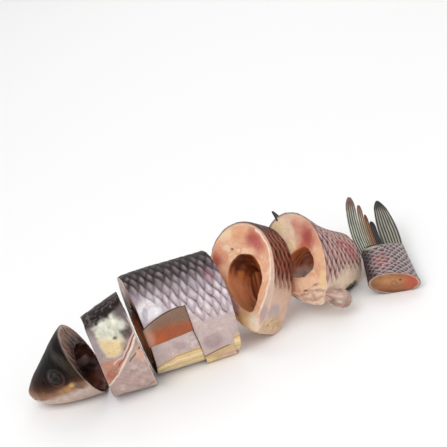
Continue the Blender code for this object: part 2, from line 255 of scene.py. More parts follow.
HEAD_FRONT = Piece(
    "head_front", 0, 67, (-172, 2), yaw=-5, pitch=-20, lean=0, sink=1.5,
    rear=Hollow(0.06, 0.68, 0.90, deep=38),
)
HEAD_REAR = Piece(
    "head_rear", 73, 116, (-104.5, -16), yaw=8, pitch=-2, lean=4, sink=2, end_tilt=-0.04,
    front=Hollow(0.10, 0.62, 0.80), rear=Hollow(0.10, 0.64, 0.80),
)
BODY_FRONT = Piece(
    "body_front", 115.5, 202, (-36.8, 8), yaw=3, pitch=2, lean=14, sink=2,
    start_tilt=-0.07, start_skew=-0.16, end_tilt=-0.05, end_skew=-0.22,
    front=Hollow(0.12, 0.66, 0.74), rear=Hollow(0.16, 0.68, 0.60),
)
STEAK_FRONT = Piece(
    "steak_front", 226, 260, (45, 34), yaw=50, pitch=40, lean=24, sink=2,
    front=Hollow(0.19, 0.71, 0.53, corner=-0.14), rear=Hollow(0.23, 0.52, 0.11),
)
STEAK_REAR = Piece(
    "steak_rear", 284, 356, (119, 50), yaw=40, pitch=28, lean=42, sink=2,
    front=Hollow(0.33, 0.60, 0.50, deep=45, corner=0.24),
)
TAIL_END = Piece(
    "tail_end", 378, 438, (182, 38), yaw=86, pitch=-8, lean=83, sink=1.5, start_tilt=0.2,
)


def hex_colour(text):
    """Linear red, green and blue of a colour as a screen shows it."""
    values = np.array([int(text[k:k + 2], 16) for k in (0, 2, 4)]) / 255
    return np.where(values <= 0.04045, values / 12.92, ((values + 0.055) / 1.055) ** 2.4)


def between(first, last, share):
    return first + share * (last - first)


def smooth(low, high, value):
    """0 below low, 1 above high, with a smooth step between."""
    share = np.clip((value - low) / (high - low), 0, 1)
    return share * share * (3 - 2 * share)


def mix(colours, other, share):
    """Colours moved a share of the way to another."""
    return colours + (other - colours) * np.asarray(share)[..., None]


def tint(colours, text, share):
    """Cover a share of colours with another, given as a screen shows it."""
    return mix(colours, hex_colour(text), share)


def flat_colour(text, shape):
    """One colour at every point of a grid of the given shape."""
    return np.broadcast_to(hex_colour(text), tuple(shape) + (3,))


def mottled(colours, amount, pattern):
    """Colours made lighter and darker by a pattern from -1 to 1."""
    return colours * (1 + amount * pattern)[..., None]


def noise(points, size, seed):
    """Smooth noise from -1 to 1 whose lumps have the given size."""
    table = np.random.default_rng(seed).uniform(-1, 1, (32, 32, 32))
    scaled = np.asarray(points) / size
    cell = np.floor(scaled).astype(int)
    part = scaled - cell
    part = part * part * (3 - 2 * part)
    total = 0
    for corner in np.ndindex(2, 2, 2):
        weight = np.abs(1 - np.array(corner) - part)
        at = (cell + corner) % 32
        value = table[at[..., 0], at[..., 1], at[..., 2]]
        total = total + weight[..., 0] * weight[..., 1] * weight[..., 2] * value
    return total


def lumps(points, size, seed):
    """Noise at three sizes, each half as big as the one before."""
    return sum(noise(points, size / 2 ** k, seed + k) / 2 ** k for k in range(3)) / 1.75


def outline(s):
    """Back, belly, half width and the two shares at distance s, with the corners rounded off."""
    s = np.asarray(s, float)
    table = np.array(OUTLINE, float)
    near_snout = np.minimum(1, s / OUTLINE_ROUNDING)[..., None]
    spread = np.linspace(-OUTLINE_ROUNDING, OUTLINE_ROUNDING, 9) * near_snout
    at = np.clip(s[..., None] + spread, 0, table[-1, 0])
    return [np.interp(at, table[:, 0], table[:, k]).mean(axis=-1) for k in range(1, 6)]


def keel(s):
    """How sharp the belly's edge is at distance s."""
    return np.interp(s, *zip(*KEEL))


def egg(angle, half_width, low, level, high, sharpness=0.0):
    """Points y, z of an egg, at an angle that goes from the fish's left side up over its back.
    Below its widest line it draws in to an edge by its sharpness."""
    across, up = np.cos(angle), np.sin(angle)
    reach = np.where(up > 0, high - level, level - low)
    drawn_in = np.where(up > 0, 1.0, np.abs(across) ** sharpness)
    return -half_width * across * drawn_in, level + reach * up


def skin_point(s, angle):
    """A point of the skin."""
    high, low, half_width, share, _ = outline(s)
    return egg(angle, half_width, low, between(low, high, share), high, keel(s))


def hollow_point(s, angle, low_share, high_share, wide, corner=0.0):
    """A point of a hollow's wall, which goes in and out unevenly."""
    high, low, half_width = outline(s)[:3]
    floor, roof = between(low, high, low_share), between(low, high, high_share)
    level = between(floor, roof, HOLLOW_WIDEST)
    y, z = egg(angle, half_width * wide, floor, level, roof, keel(s))
    rough = np.stack([np.cos(angle) * 9, np.sin(angle) * 9, s / 2 + 0 * angle], axis=-1)
    from_corner = np.abs(np.degrees(angle) - CORNER_ANGLE)
    swell = 1 + HOLLOW_UNEVEN * lumps(rough, 6, 7) + corner * smooth(CORNER_SPREAD, 0, from_corner)
    return y * swell, level + (z - level) * swell


def bone_middle(s):
    """The level of the backbone's middle."""
    high, low, _, _, share = outline(s)
    return between(low, high, share)


def skin_beside(s, z):
    """How far the skin is from the middle of the fish at distance s and level z."""
    high, low, half_width, share, _ = outline(s)
    level = between(low, high, share)
    reach = np.where(z > level, high - level, level - low)
    return half_width * np.sqrt(np.clip(1 - ((z - level) / reach) ** 2, 0, 1))


def along(piece, s, y, z):
    """x of a point at distance s, between cuts that may slope and slew."""
    share = (s - piece.start) / (piece.end - piece.start)
    high, low = outline(s)[:2]
    tilt = between(piece.start_tilt, piece.end_tilt, share)
    skew = between(piece.start_skew, piece.end_skew, share)
    return s + tilt * (z - (high + low) / 2) + skew * y


def ring(piece, s, y, z):
    """Points x, y, z of a piece from distance s, y and level."""
    return np.stack([along(piece, s, y, z), y, z], axis=-1)


def pose(piece):
    """The matrix that turns a piece and sets it down, as its solid lies."""
    turn = (
        Matrix.Rotation(math.radians(piece.yaw), 4, "Z")
        @ Matrix.Rotation(math.radians(piece.pitch), 4, "Y")
        @ Matrix.Rotation(math.radians(-piece.lean), 4, "X")
    )
    s = (piece.start + piece.end) / 2
    high, low = (float(value) for value in outline(s)[:2])
    centre = Vector((s, 0, (high + low) / 2))
    shares = np.linspace(0, 1, 9) ** (1.6 if piece.start == 0 else 1)
    stations = between(piece.start, piece.end, shares)[:, None] + np.zeros(40)
    y, z = skin_point(stations, np.arange(40) * math.tau / 40)
    points = ring(piece, stations, y, z) - np.array(centre)
    lowest = (points @ np.array(turn.to_3x3()).T)[..., 2].min()
    place = Vector((piece.place[0] - ROW_MIDDLE[0], piece.place[1] - ROW_MIDDLE[1], -lowest - piece.sink))
    return np.array(Matrix.Translation(place) @ turn @ Matrix.Translation(-centre))


def set_down(points, piece):
    """Points of a piece in the row, with what would sink into the board spread flat on it."""
    matrix = pose(piece)
    placed = points @ matrix[:3, :3].T + matrix[:3, 3]
    level = placed[..., 2]
    pressed = SOFT_REST * np.exp(np.minimum(0, level / SOFT_REST - 1))
    placed[..., 2] = np.where(level < SOFT_REST, pressed, level)
    return placed


def grid_normals(points, closed):
    """Unit normals of a grid of rings, out of a body whose rings run from front to rear."""
    if closed:
        down = np.roll(points, -1, axis=0) - np.roll(points, 1, axis=0)
    else:
        down = np.gradient(points, axis=0)
    around = np.roll(points, -1, axis=1) - np.roll(points, 1, axis=1)
    normals = np.cross(down, around)
    return normals / np.maximum(np.linalg.norm(normals, axis=-1, keepdims=True), 1e-9)


@dataclass
class Grid:
    """Rings of points with what each ring belongs to."""

    points: list = field(default_factory=list)
    station: list = field(default_factory=list)
    region: list = field(default_factory=list)
    share: list = field(default_factory=list)

    def add(self, piece, s, y, z, region, share):
        self.points.append(ring(piece, s, y, z))
        self.station.append(s)
        self.region.append(region)
        self.share.append(share)


SKIN, CUT_FRONT, CUT_REAR, HOLLOW = range(4)
ANGLES = np.arange(AROUND) * math.tau / AROUND


def skin_rows(piece, grid):
    """Rings of the skin, from front to rear, closer together at the snout."""
    count = int((piece.end - piece.start) / ALONG)
    shares = np.linspace(0, 1, count)
    if piece.start == 0:
        shares = shares ** 1.35
    for share in shares:
        s = between(piece.start, piece.end, share)
        y, z = skin_point(s, ANGLES)
        grid.add(piece, s, y, z, SKIN, share)


def cut_rows(piece, grid, s, inner, region, inward):
    """Rings of a cut, from the skin to the hollow, or to the middle where inner is None."""
    outer_y, outer_z = skin_point(s, ANGLES)
    if inner is None:
        inner_y, inner_z = np.zeros(AROUND), np.full(AROUND, bone_middle(s))
        last = 0.985
    else:
        inner_y, inner_z = hollow_point(s, ANGLES, inner.low, inner.high, inner.wide, inner.corner)
        last = 1.0
    shares = (np.linspace(0, 1, CUT_ROWS) * last)[1:-1]
    for share in shares if inward else shares[::-1]:
        y, z = between(outer_y, inner_y, share), between(outer_z, inner_z, share)
        grid.add(piece, s, y, z, region, share)


def tunnel_at(piece, share):
    """Low and high level, width and corner of a hollow that goes right through, part of the way in."""
    sizes = [(hollow.low, hollow.high, hollow.wide, hollow.corner) for hollow in (piece.front, piece.rear)]
    return [between(first, last, share) for first, last in zip(*sizes)]


def tunnel_rows(piece, grid):
    """Rings of a hollow that goes right through, from the rear cut to the front."""
    count = int((piece.end - piece.start) / HOLLOW_STEP)
    for share in np.linspace(1, 0, count):
        s = between(piece.start, piece.end, share)
        y, z = hollow_point(s, ANGLES, *tunnel_at(piece, share))
        grid.add(piece, s, y, z, HOLLOW, share)


def pocket_rows(piece, grid, mouth, inward, hollow):
    """Rings of a blind hollow: a front one from its rounded end to its mouth, a rear one the other way."""
    middle = (hollow.low + hollow.high) / 2
    shares = np.linspace(0, 0.985, int(hollow.deep / HOLLOW_STEP))
    for share in shares[::-inward]:
        narrow = math.sqrt(1 - share ** 3)
        reach = narrow * (hollow.high - hollow.low) / 2
        s = mouth + inward * share * hollow.deep
        low, high = middle - reach, middle + reach
        y, z = hollow_point(s, ANGLES, low, high, hollow.wide * narrow, hollow.corner * narrow)
        grid.add(piece, s, y, z, HOLLOW, share)


def snout_rows(piece, grid):
    """Rings that round off the tip of the snout, from its middle outward."""
    y, z = skin_point(0.0, ANGLES)
    middle = z.mean()
    for share in np.linspace(0.04, 0.97, 12):
        bulge = SNOUT_BULGE * (1 - math.sqrt(1 - share ** 2)) - SNOUT_BULGE
        grid.add(piece, 0.0, y * share, middle + (z - middle) * share, SKIN, 0.0)
        grid.points[-1][:, 0] += bulge


def piece_grid(piece):
    """The rings of a piece, and whether the last joins the first."""
    grid = Grid()
    if piece.front and piece.rear:
        skin_rows(piece, grid)
        cut_rows(piece, grid, piece.end, piece.rear, CUT_REAR, True)
        tunnel_rows(piece, grid)
        cut_rows(piece, grid, piece.start, piece.front, CUT_FRONT, False)
        return grid, True
    if piece.front:
        pocket_rows(piece, grid, piece.start, 1, piece.front)
        cut_rows(piece, grid, piece.start, piece.front, CUT_FRONT, False)
        skin_rows(piece, grid)
        cut_rows(piece, grid, piece.end, None, CUT_REAR, True)
        return grid, False
    if piece.rear:
        snout_rows(piece, grid)
        skin_rows(piece, grid)
        cut_rows(piece, grid, piece.end, piece.rear, CUT_REAR, True)
        pocket_rows(piece, grid, piece.end, -1, piece.rear)
        return grid, False
    cut_rows(piece, grid, piece.start, None, CUT_FRONT, False)
    skin_rows(piece, grid)
    cut_rows(piece, grid, piece.end, None, CUT_REAR, True)
    return grid, False


def side_rows():
    """For each angle, its place between back and belly, counted in rows of scales."""
    y, z = egg(ANGLES, *TYPICAL_SECTION)
    steps = np.hypot(np.roll(y, -1) - y, np.roll(z, -1) - z)
    arc = np.concatenate([[0], np.cumsum(steps)[:-1]])
    back = AROUND // 4
    belly = 3 * AROUND // 4
    half = arc[belly] - arc[back]
    from_back = np.abs(arc - arc[back])
    total = steps.sum()
    from_back = np.minimum(from_back, total - from_back)
    return from_back / half * SCALE_ROWS


def scale_pattern(x, row):
    """How far forward of its scale's free edge each point lies, as a share of the scale's length.
    x counts scale lengths."""
    first = np.full(x.shape, np.inf)
    ahead = np.zeros(x.shape)
    for step in (-1, 0, 1, 2):
        number = np.floor(row) + step
        off = row - number
        bulge = np.sqrt(np.clip(1 - (off / SCALE_SPREAD) ** 2, 0, None)) * SCALE_BULGE
        shift = 0.5 * (number % 2)
        middle = np.ceil(x - bulge - shift) + shift
        better = (np.abs(off) < SCALE_SPREAD) & (middle < first)
        first = np.where(better, middle, first)
        ahead = np.where(better, middle + bulge - x, ahead)
    return ahead


class Where:
    """Places on a piece: s along the fish, y and z in its section, and the angle and share of their
    ring. u, w and v are s, y and z shifted a little, so that what is painted by them has uneven edges.
    across is what goes with v to place a spot: u on skin and w on a cut."""

    def __init__(self, s, angle, share, points, on_cut):
        self.s, self.angle, self.share, self.points = s, angle, share, points
        self.y, self.z = points[..., 1], points[..., 2]
        self.u = s + UNEVEN * noise(points, UNEVEN_SIZE, 1)
        self.w = self.y + UNEVEN * noise(points, UNEVEN_SIZE, 2)
        self.v = self.z + UNEVEN * noise(points, UNEVEN_SIZE, 3)
        self.across = self.w if on_cut else self.u
        high, low = outline(s)[:2]
        self.level = (self.z - low) / (high - low)

    def noise(self, size, seed):
        return noise(self.points, size, seed)

    def lumps(self, size, seed):
        return lumps(self.points, size, seed)


class Paint:
    """Colour and relief of a surface, built up in layers."""

    def __init__(self, at, colour):
        self.at = at
        self.colour = flat_colour(colour, at.s.shape)
        self.relief = np.zeros(at.s.shape)

    def coat(self, colour, share):
        """Cover a share of what is there with a colour."""
        self.colour = tint(self.colour, colour, np.clip(share, 0, 1))

    def spot(self, colour, share, middle, radii, turn=0.0, soft=0.4):
        """Cover a share of what is inside an oval with a colour."""
        self.coat(colour, share * oval(self.at.across, self.at.v, middle, radii, turn, soft))

    def line(self, colour, share, points, width):
        """Cover a share of what is on a line through the points with a colour."""
        self.coat(colour, share * stroke(self.at.across, self.at.v, points, width))

    def mottle(self, amount, size, seed):
        """Make the colour lighter and darker in lumps."""
        self.colour = mottled(self.colour, amount, self.at.lumps(size, seed))

    def swell(self, height, size, seed):
        """Raise and lower the surface in lumps."""
        self.relief = self.relief + height * self.at.lumps(size, seed)


def oval(u, v, middle, radii, turn=0.0, soft=0.4):
    """1 inside an oval and 0 outside it, with a soft edge. The turn is in degrees."""
    across, up = u - middle[0], v - middle[1]
    c, d = math.cos(math.radians(turn)), math.sin(math.radians(turn))
    far = np.hypot((across * c + up * d) / radii[0], (up * c - across * d) / radii[1])
    return smooth(1 + soft, 1 - soft, far)


def distance_to_line(u, v, points):
    """How far a place is from the line through the points."""
    far = np.full(np.shape(u), np.inf)
    for (a, b), (c, d) in zip(points, points[1:]):
        share = np.clip(((u - a) * (c - a) + (v - b) * (d - b)) / ((c - a) ** 2 + (d - b) ** 2), 0, 1)
        far = np.minimum(far, np.hypot(u - between(a, c, share), v - between(b, d, share)))
    return far


def stroke(u, v, points, width):
    """1 on a line through the points and 0 beyond half its width, with soft sides."""
    return smooth(0.5 * width, 0.1 * width, distance_to_line(u, v, points))


def field_inside(u, v, corners, soft):
    """1 inside a closed outline and 0 outside it, with a soft edge."""
    inside = np.zeros(np.shape(u), bool)
    closed = corners + corners[:1]
    for (a, b), (c, d) in zip(closed, closed[1:]):
        if b != d:
            inside ^= ((b > v) != (d > v)) & (u < between(a, c, (v - b) / (d - b)))
    far = distance_to_line(u, v, closed)
    return smooth(-soft, soft, np.where(inside, far, -far))


def scales(paint, pale, grey, dark, shown, heavy):
    """Scales with pale middles, grey fore parts and dark lines between them, which show by a share
    from 0 to 1. The lines are wider where heavy is nearer to 1."""
    at = paint.at
    x = at.s / SCALE_LENGTH + 0.16 * at.noise(9, 5)
    row = side_rows() + 0.35 * at.noise(9, 11)
    falling, rising = x - row / 2, x + row / 2
    number = (7 * np.round(falling) + 13 * np.round(rising)).astype(int) % 97
    own_tone = np.random.default_rng(17).uniform(-1, 1, 97)[number]
    across, down = falling - np.round(falling), rising - np.round(rising)
    strong = shown * (0.85 + 0.15 * at.noise(5, 13))
    paint.coat(grey, 0.85 * strong * smooth(0.3, -0.3, across + 0.2 * own_tone))
    middle = smooth(0.36, 0.1, np.hypot(across - 0.1, 0.8 * down))
    paint.coat(pale, 0.85 * strong * middle * (0.75 + 0.25 * own_tone))
    wide = between(0.10, 0.27, heavy)
    thick = 0.55 + 0.9 * (down + 0.5) ** 2 + 0.25 * own_tone
    paint.coat(dark, 0.95 * strong * smooth(wide, 0.2 * wide, np.abs(np.abs(across) - 0.5) / thick))
    rising_line = smooth(0.8 * wide, 0.1 * wide, np.abs(np.abs(down) - 0.5)) * smooth(0.45, -0.35, across)
    paint.coat(dark, between(0.45, 0.85, heavy) * strong * rising_line)
    ahead = scale_pattern(x, row)
    paint.relief = paint.relief + SCALE_LIFT * (1 - np.clip(ahead, 0, 1)) * between(0.15, 1.0, shown)


def head_front_skin(at):
    """Pale jaw, dark head, and the eye's rings, mouth, nostril and cheek grooves."""
    paint = Paint(at, "c8b2a6")
    jaw = np.interp(at.s, (0, 7, 25, 47, 67), (62, 60, 55, 52, 50))
    above = at.v - jaw
    paint.coat("8c6850", smooth(-15, -7, above))
    paint.coat("4f3224", smooth(-8, 0, above))
    paint.coat("29130c", smooth(-2, 6, above))
    paint.coat("100a08", smooth(4, 20, above))
    paint.spot("b98a58", 0.6, (44, 46.5), (8, 3.5), 8, 0.8)
    paint.spot("d6b478", 0.6, (52, 48), (3.5, 2.5), 0, 0.8)
    paint.spot("6a5a52", 0.7, (57, 43), (2.5, 4.5))
    paint.spot("3a3022", 0.6, (61, 66), (4, 13))
    # Painted sheen: a faint pale oval on the dark cheek.
    paint.spot("6d6660", 0.25, (55, 78), (4, 9), 20, 0.8)
    paint.coat("4a423c", 0.25 * smooth(0.1, 0.8, at.lumps(7, 35)) * smooth(0, 10, above))
    off = np.hypot(at.s - EYE_PLACE[0], at.z - EYE_PLACE[1])
    paint.coat("4d443c", 0.45 * smooth(7.2, 8.0, off) * smooth(9.6, 8.6, off))
    paint.coat("120d0b", 0.7 * smooth(9.2, 10.2, off) * smooth(12.5, 10.8, off) * smooth(-2, 4, above))
    paint.relief += 0.6 * smooth(6.5, 7.5, off) * smooth(10.0, 8.0, off)
    mouth = stroke(at.s, at.v, MOUTH_LINE, 2.0)
    paint.coat("1e1210", 0.9 * mouth)
    paint.relief -= 0.9 * mouth
    nostril = oval(at.s, at.v, (27, 62.5), (1.6, 1.2), 30)
    paint.coat("0c0807", 0.9 * nostril)
    paint.relief -= 0.9 * nostril
    for line in CHEEK_GROOVES:
        groove = stroke(at.u, at.v, line, 2.0)
        paint.coat("15100e", 0.5 * groove)
        paint.relief -= 0.5 * groove
    paint.coat("b8a498", 0.75 * smooth(64.8, 66.2, at.s) * smooth(-1, -8, above))
    paint.coat("84766c", 0.6 * smooth(65.2, 66.6, at.s) * smooth(-8, 0, above))
    paint.mottle(0.28, 5, 41)
    paint.swell(0.45, 12, 51)
    paint.swell(0.10, 2.5, 57)
    return paint


def head_rear_skin(at):
    """Dark crown with painted highlights in grey flecks, pale patch on the cheek, and the edge and folds of
    the gill cover.
    """
    paint = Paint(at, "b49c95")
    paint.coat("94817f", 0.7 * smooth(54, 70, at.v))
    paint.spot("c4a79c", 0.5, (95, 24), (24, 9))
    paint.spot("d9a88e", 0.7, (113, 56), (5, 9))
    paint.coat("b3806a", 0.9 * field_inside(at.u, at.v, GILL_FLAP, 1.6))
    paint.spot("a35c42", 0.6, (81, 46), (7, 5), 40)
    paint.spot("9a8d94", 0.8, (76, 78), (3, 11))
    paint.coat("574b49", 0.85 * smooth(76, 88, at.v + 0.25 * (at.s - 95)))
    paint.coat("8b8082", 0.6 * smooth(0.1, 0.7, at.noise(2.4, 66)) * smooth(80, 90, at.v))
    shift = 1.5 * at.noise(2.5, 61)
    patch = field_inside(at.u + shift, at.v - shift, CHEEK_PATCH, 3.2)
    paint.coat("cfcfbf", 0.95 * patch)
    paint.coat("dcbf8a", 0.9 * patch * smooth(84, 72, at.v + 0.2 * (at.s - 95)))
    paint.coat("9f9a8c", 0.5 * patch * smooth(0.1, 0.7, at.noise(2.6, 63)) * smooth(74, 84, at.v))
    paint.coat("f0ead8", 0.5 * patch * smooth(0.1, 0.7, at.noise(4, 64)))
    bruise = oval(at.u, at.v, (107.5, 79.5), (5, 4.5), -30)
    paint.coat("3a2e27", 0.85 * bruise * (0.7 + 0.3 * at.noise(2, 65)))
    paint.spot("4c3c30", 0.8, (97, 79), (2, 1.4))
    paint.spot("6e5a4a", 0.6, (101, 70), (2.5, 5))
    crown = at.v - np.interp(at.s, (73, 93, 109, 116), (91, 95.5, 99.5, 101))
    paint.coat("1f1917", 0.97 * smooth(-2.5, 2.5, crown + 1.5 * at.noise(2.4, 68)))
    paint.coat("6c6064", 0.7 * oval(at.u, at.v, (111, 97), (7, 3.5), 20) * (0.6 + 0.4 * at.noise(2, 67)))
    # Painted highlights: grey flecks on the dark crown.
    paint.coat("7a706c", 0.5 * smooth(0.0, 0.8, at.noise(2.2, 69)) * smooth(-4, 2, crown))
    paint.coat("edd6c2", 0.95 * stroke(at.s, at.v, GILL_EDGE, 4.0))
    paint.coat("8c4236", 0.75 * stroke(at.s, at.v, GILL_GAP, 1.8))
    paint.coat("e6bcb0", 0.85 * stroke(at.s, at.v, GILL_FOLD, 2.8))
    paint.coat("3b1d16", 0.9 * stroke(at.s, at.v, ((100, 51), (105, 55), (109, 58)), 1.8))
    paint.coat("2d1814", 0.9 * stroke(at.s, at.v, ((113, 61.5), (116, 63)), 2.4))
    paint.coat("8a5a30", 0.8 * oval(at.s, at.v, (111, 14), (3, 2), 20))
    streaks = noise(np.stack([at.s + at.z, at.z - at.s, 0 * at.s], axis=-1) * (0.8, 0.16, 1), 2, 71)
    paint.coat("8e7a7c", 0.25 * smooth(0.1, 0.8, streaks) * smooth(50, 40, at.v))
    paint.coat("a48478", 0.5 * smooth(0.1, 0.7, at.lumps(5, 72)) * smooth(60, 45, at.v))
    paint.coat("e2cfc4", 0.5 * smooth(0.1, 0.7, at.lumps(7, 74)) * smooth(60, 45, at.v))
    paint.coat("b9aca6", 0.8 * smooth(12, 7, at.v))
    paint.coat("cdb9ae", 0.8 * smooth(114.4, 115.6, at.s) * smooth(96, 90, at.z))
    paint.relief += 0.9 * field_inside(at.s, at.v, GILL_COVER, 1.2)
    paint.relief -= 0.8 * stroke(at.s, at.v, GILL_GAP, 2.2)
    paint.mottle(0.2, 5, 73)
    paint.swell(0.4, 12, 75)
    paint.swell(0.12, 2.5, 77)
    return paint


def body_front_skin(at):
    """Dark back, silver flank with scales above, and a pale belly with its fat."""
    paint = Paint(at, "c6b1ad")
    left = at.y < 0
    edge = np.interp(at.s, (116, 123, 139, 157, 170, 202), (98, 90, 76, 66, 52, 49))
    shown = smooth(-6, 4, at.v - edge)
    paint.coat("b8a8b0", 0.8 * smooth(48, 66, at.z))
    paint.coat("8f828b", 0.8 * smooth(70, 92, at.z))
    paint.coat("3a3032", 0.95 * smooth(88, 101, at.z))
    paint.spot("ece8ea", 0.9, (127, 76), (12, 10), 25)
    paint.spot("a6a1ac", 0.8, (121, 73), (2.4, 7), -15)
    pale = smooth(103, 72, at.z)
    scales(paint, "a39492", "5c5053", "1d1717", shown * (1 - pale), 0.9)
    scales(paint, "f6eef0", "b6a7ad", "3d3035", shown * pale, 0.9 * smooth(60, 95, at.z))
    paint.spot("8a3a48", 0.4, (192, 90), (5, 6), 0, 0.9)
    paint.coat("a58c88", 0.5 * smooth(0.1, 0.7, at.lumps(5, 84)) * (1 - shown))
    paint.coat("ecdcd4", 0.5 * smooth(0.1, 0.7, at.lumps(6, 86)) * smooth(100, 60, at.z))
    paint.spot("94787f", 0.5, (181, 26), (10, 7))
    paint.spot("a98f92", 0.5, (143, 31), (6, 4))
    paint.coat("1d1817", 0.6 * smooth(103, 107, at.v))
    fat = smooth(2, -2, at.v - np.interp(at.s, (116, 140, 202), (13, 22, 24)))
    paint.coat("e6ca94", 0.9 * fat)
    paint.coat("b07f3c", 0.7 * stroke(at.s, at.v, ((116, 13), (140, 21), (202, 22)), 2.4))
    paint.coat("f4e0b4", 0.8 * stroke(at.s, at.v, ((116, 10), (140, 14.5), (202, 16)), 4.5))
    paint.coat("a67f4a", 0.5 * stroke(at.s, at.v, ((116, 6.5), (140, 9.5), (202, 10)), 1.6))
    paint.coat("d6c4b4", 0.8 * smooth(7, 4, at.v))
    slit = stroke(at.s, at.z, BELLY_SLIT, 1.8) * left
    paint.coat("3d2620", 0.9 * slit)
    paint.relief -= 1.0 * slit
    paint.mottle(0.12, 6, 81)
    paint.swell(0.5, 22, 83)
    paint.swell(0.06, 2.5, 87)
    return paint


def steak_front_skin(at):
    """Red-brown scales above a pale belly wall."""
    paint = Paint(at, "d3b29e")
    shown = smooth(-7, 7, at.v - 37)
    paint.coat("874632", 0.85 * smooth(34, 54, at.z))
    paint.coat("2f2522", 0.9 * smooth(86, 104, at.z))
    scales(paint, "b27464", "712f22", "220d0b", shown, 0.75 + 0.25 * smooth(60, 90, at.z))
    paint.coat("281c1a", 0.6 * smooth(0.82, 0.98, at.level))
    paint.spot("aea0a5", 0.7, (236, 13), (10, 7))
    torn = smooth(-0.2, 0.5, at.lumps(6, 95)) * oval(at.u, at.v, (240, 4), (15, 5), 0, 0.7)
    paint.spot("d9bf94", 0.6, (240, 4), (17, 6), 0, 0.7)
    paint.coat("a8743a", 0.65 * torn)
    paint.coat("6e4420", 0.6 * torn * smooth(0.2, 0.7, at.noise(3, 97)))
    paint.mottle(0.13, 6, 91)
    paint.swell(0.5, 20, 93)
    return paint


def steak_rear_skin(at):
    """Pink-grey scales with red dashes above a cream belly."""
    paint = Paint(at, "ecd2ba")
    edge = np.interp(at.s, (284, 300, 322, 356), (19, 22, 31, 34))
    shown = smooth(-6, 5, at.v - edge)
    paint.coat("b08d88", 0.85 * smooth(-2, 8, at.v - edge))
    paint.coat("57494a", 0.85 * smooth(0.70, 0.94, at.level))
    paint.coat("6c6166", 0.55 * smooth(298, 288, at.s) * smooth(36, 46, at.z))
    scales(paint, "e2bfb6", "b57f7c", "2c1715", shown, 0.8 + 0 * at.s)
    paint.coat("3d3234", 0.6 * smooth(0.78, 0.97, at.level))
    dashes = smooth(-0.4, 0.3, noise(at.points * (0.5, 1, 1), 2.6, 105))
    paint.coat("b02e48", 0.85 * dashes * oval(at.u, at.v, (328, 52.5), (16, 5), -8))
    paint.spot("a8394a", 0.35, (338, 44), (10, 4))
    keel_shade = smooth(0.04, 0.01, at.level + 0.03 * at.noise(4, 107))
    paint.coat("33261f", 0.8 * keel_shade * smooth(322, 332, at.u))
    paint.mottle(0.13, 6, 101)
    paint.swell(0.45, 18, 103)
    return paint


def tail_skin(at):
    """Small dark-edged scales, red in their middle, and the pale root of the fin."""
    paint = Paint(at, "8d7d80")
    paint.coat("a39a9c", 0.8 * smooth(0.35, 0.1, at.level))
    paint.spot("a2605c", 0.6, (407, 62), (14, 7))
    x = at.s / SCALE_LENGTH + 0.2 * at.noise(8, 5)
    ahead = scale_pattern(x, side_rows() + 0.5 * at.noise(7, 11))
    tone = 0.8 + 0.2 * at.noise(6, 13)
    paint.coat("5c4c4c", 0.8 * smooth(0.05, 0.45, ahead))
    paint.coat("c2b2b0", 0.75 * tone * smooth(0.32, 0.05, ahead))
    paint.coat("241617", 0.95 * tone * smooth(0.38, 0.62, ahead))
    paint.coat("b0504c", 0.5 * oval(at.u, at.v, (404, 62), (14, 8), 0, 0.9) * smooth(0.2, 0.5, ahead))
    paint.relief = paint.relief + SCALE_LIFT * (1 - np.clip(ahead, 0, 1))
    paint.coat("221a18", 0.85 * smooth(0.72, 0.95, at.level + 0.05 * at.noise(6, 113)))
    paint.spot("cdbf9a", 0.7, (437, 67), (4, 6))
    paint.coat("8d8a7c", 0.6 * smooth(433, 438, at.u))
    paint.mottle(0.15, 5, 111)
    paint.swell(0.3, 14, 115)
    return paint


def flesh(at, colour="dfab88"):
    """Cut muscle, with its bands, paler fat and the skin's edge."""
    paint = Paint(at, colour)
    bend = 0.35 * np.cos(3 * at.angle) + 1.1 * at.noise(16, 121)
    bands = np.sin(math.tau * (MUSCLE_BANDS * at.share + bend))
    paint.coat("f0cba8", 0.5 * smooth(-0.1, 0.8, at.lumps(15, 123)))
    paint.coat("d39584", 0.4 * smooth(0.0, 0.7, at.lumps(9, 124)))
    paint.coat("c88468", 0.16 * smooth(0.2, 1.0, bands))
    paint.coat("f3dcc4", 0.16 * smooth(-0.6, -1.0, bands))
    fibres = np.stack([11 * np.cos(at.angle), 11 * np.sin(at.angle), 1.6 * at.share + 0 * at.s], axis=-1)
    streaks = noise(fibres, 1.0, 129) * smooth(-0.4, 0.4, at.lumps(11, 130))
    seams = smooth(0.16, 0.02, np.abs(at.lumps(17, 132)))
    paint.coat("f6e4cc", 0.4 * seams * smooth(-0.3, 0.3, at.lumps(10, 134)))
    paint.coat("f4dfc6", 0.45 * smooth(0.25, 0.8, streaks))
    paint.coat("b87460", 0.25 * smooth(-0.3, -0.8, streaks))
    paint.relief += 0.08 * bands + 0.2 * streaks
    paint.swell(0.45, 9, 125)
    paint.swell(0.22, 2.6, 127)
    return paint


def skin_edge(paint):
    """The skin and the fat under it, round the edge of a cut."""
    share = paint.at.share
    ragged = share + 0.02 * noise(paint.at.points, 5, 133)
    paint.coat("ead0b8", 0.6 * smooth(0.10, 0.05, ragged))
    paint.coat("8d7672", 0.8 * smooth(0.045, 0.025, share))
    paint.mottle(0.10, 3, 131)
    return paint


def plain_cut(at):
    """A cut that the photograph hides, with a bruise and a red flank on each side."""
    paint = flesh(at)
    for side in (-1, 1):
        paint.coat("b0504a", 0.65 * oval(side * at.w, at.v, (24, 84), (7, 13), 20))
        paint.coat("c56c58", 0.45 * oval(side * at.w, at.v, (26, 50), (5, 14)))
    paint.spot("ecd0a2", 0.7, (0, 104), (9, 7))
    paint.coat("edc8aa", 0.7 * smooth(0.8, 0.95, at.share))
    return skin_edge(paint)


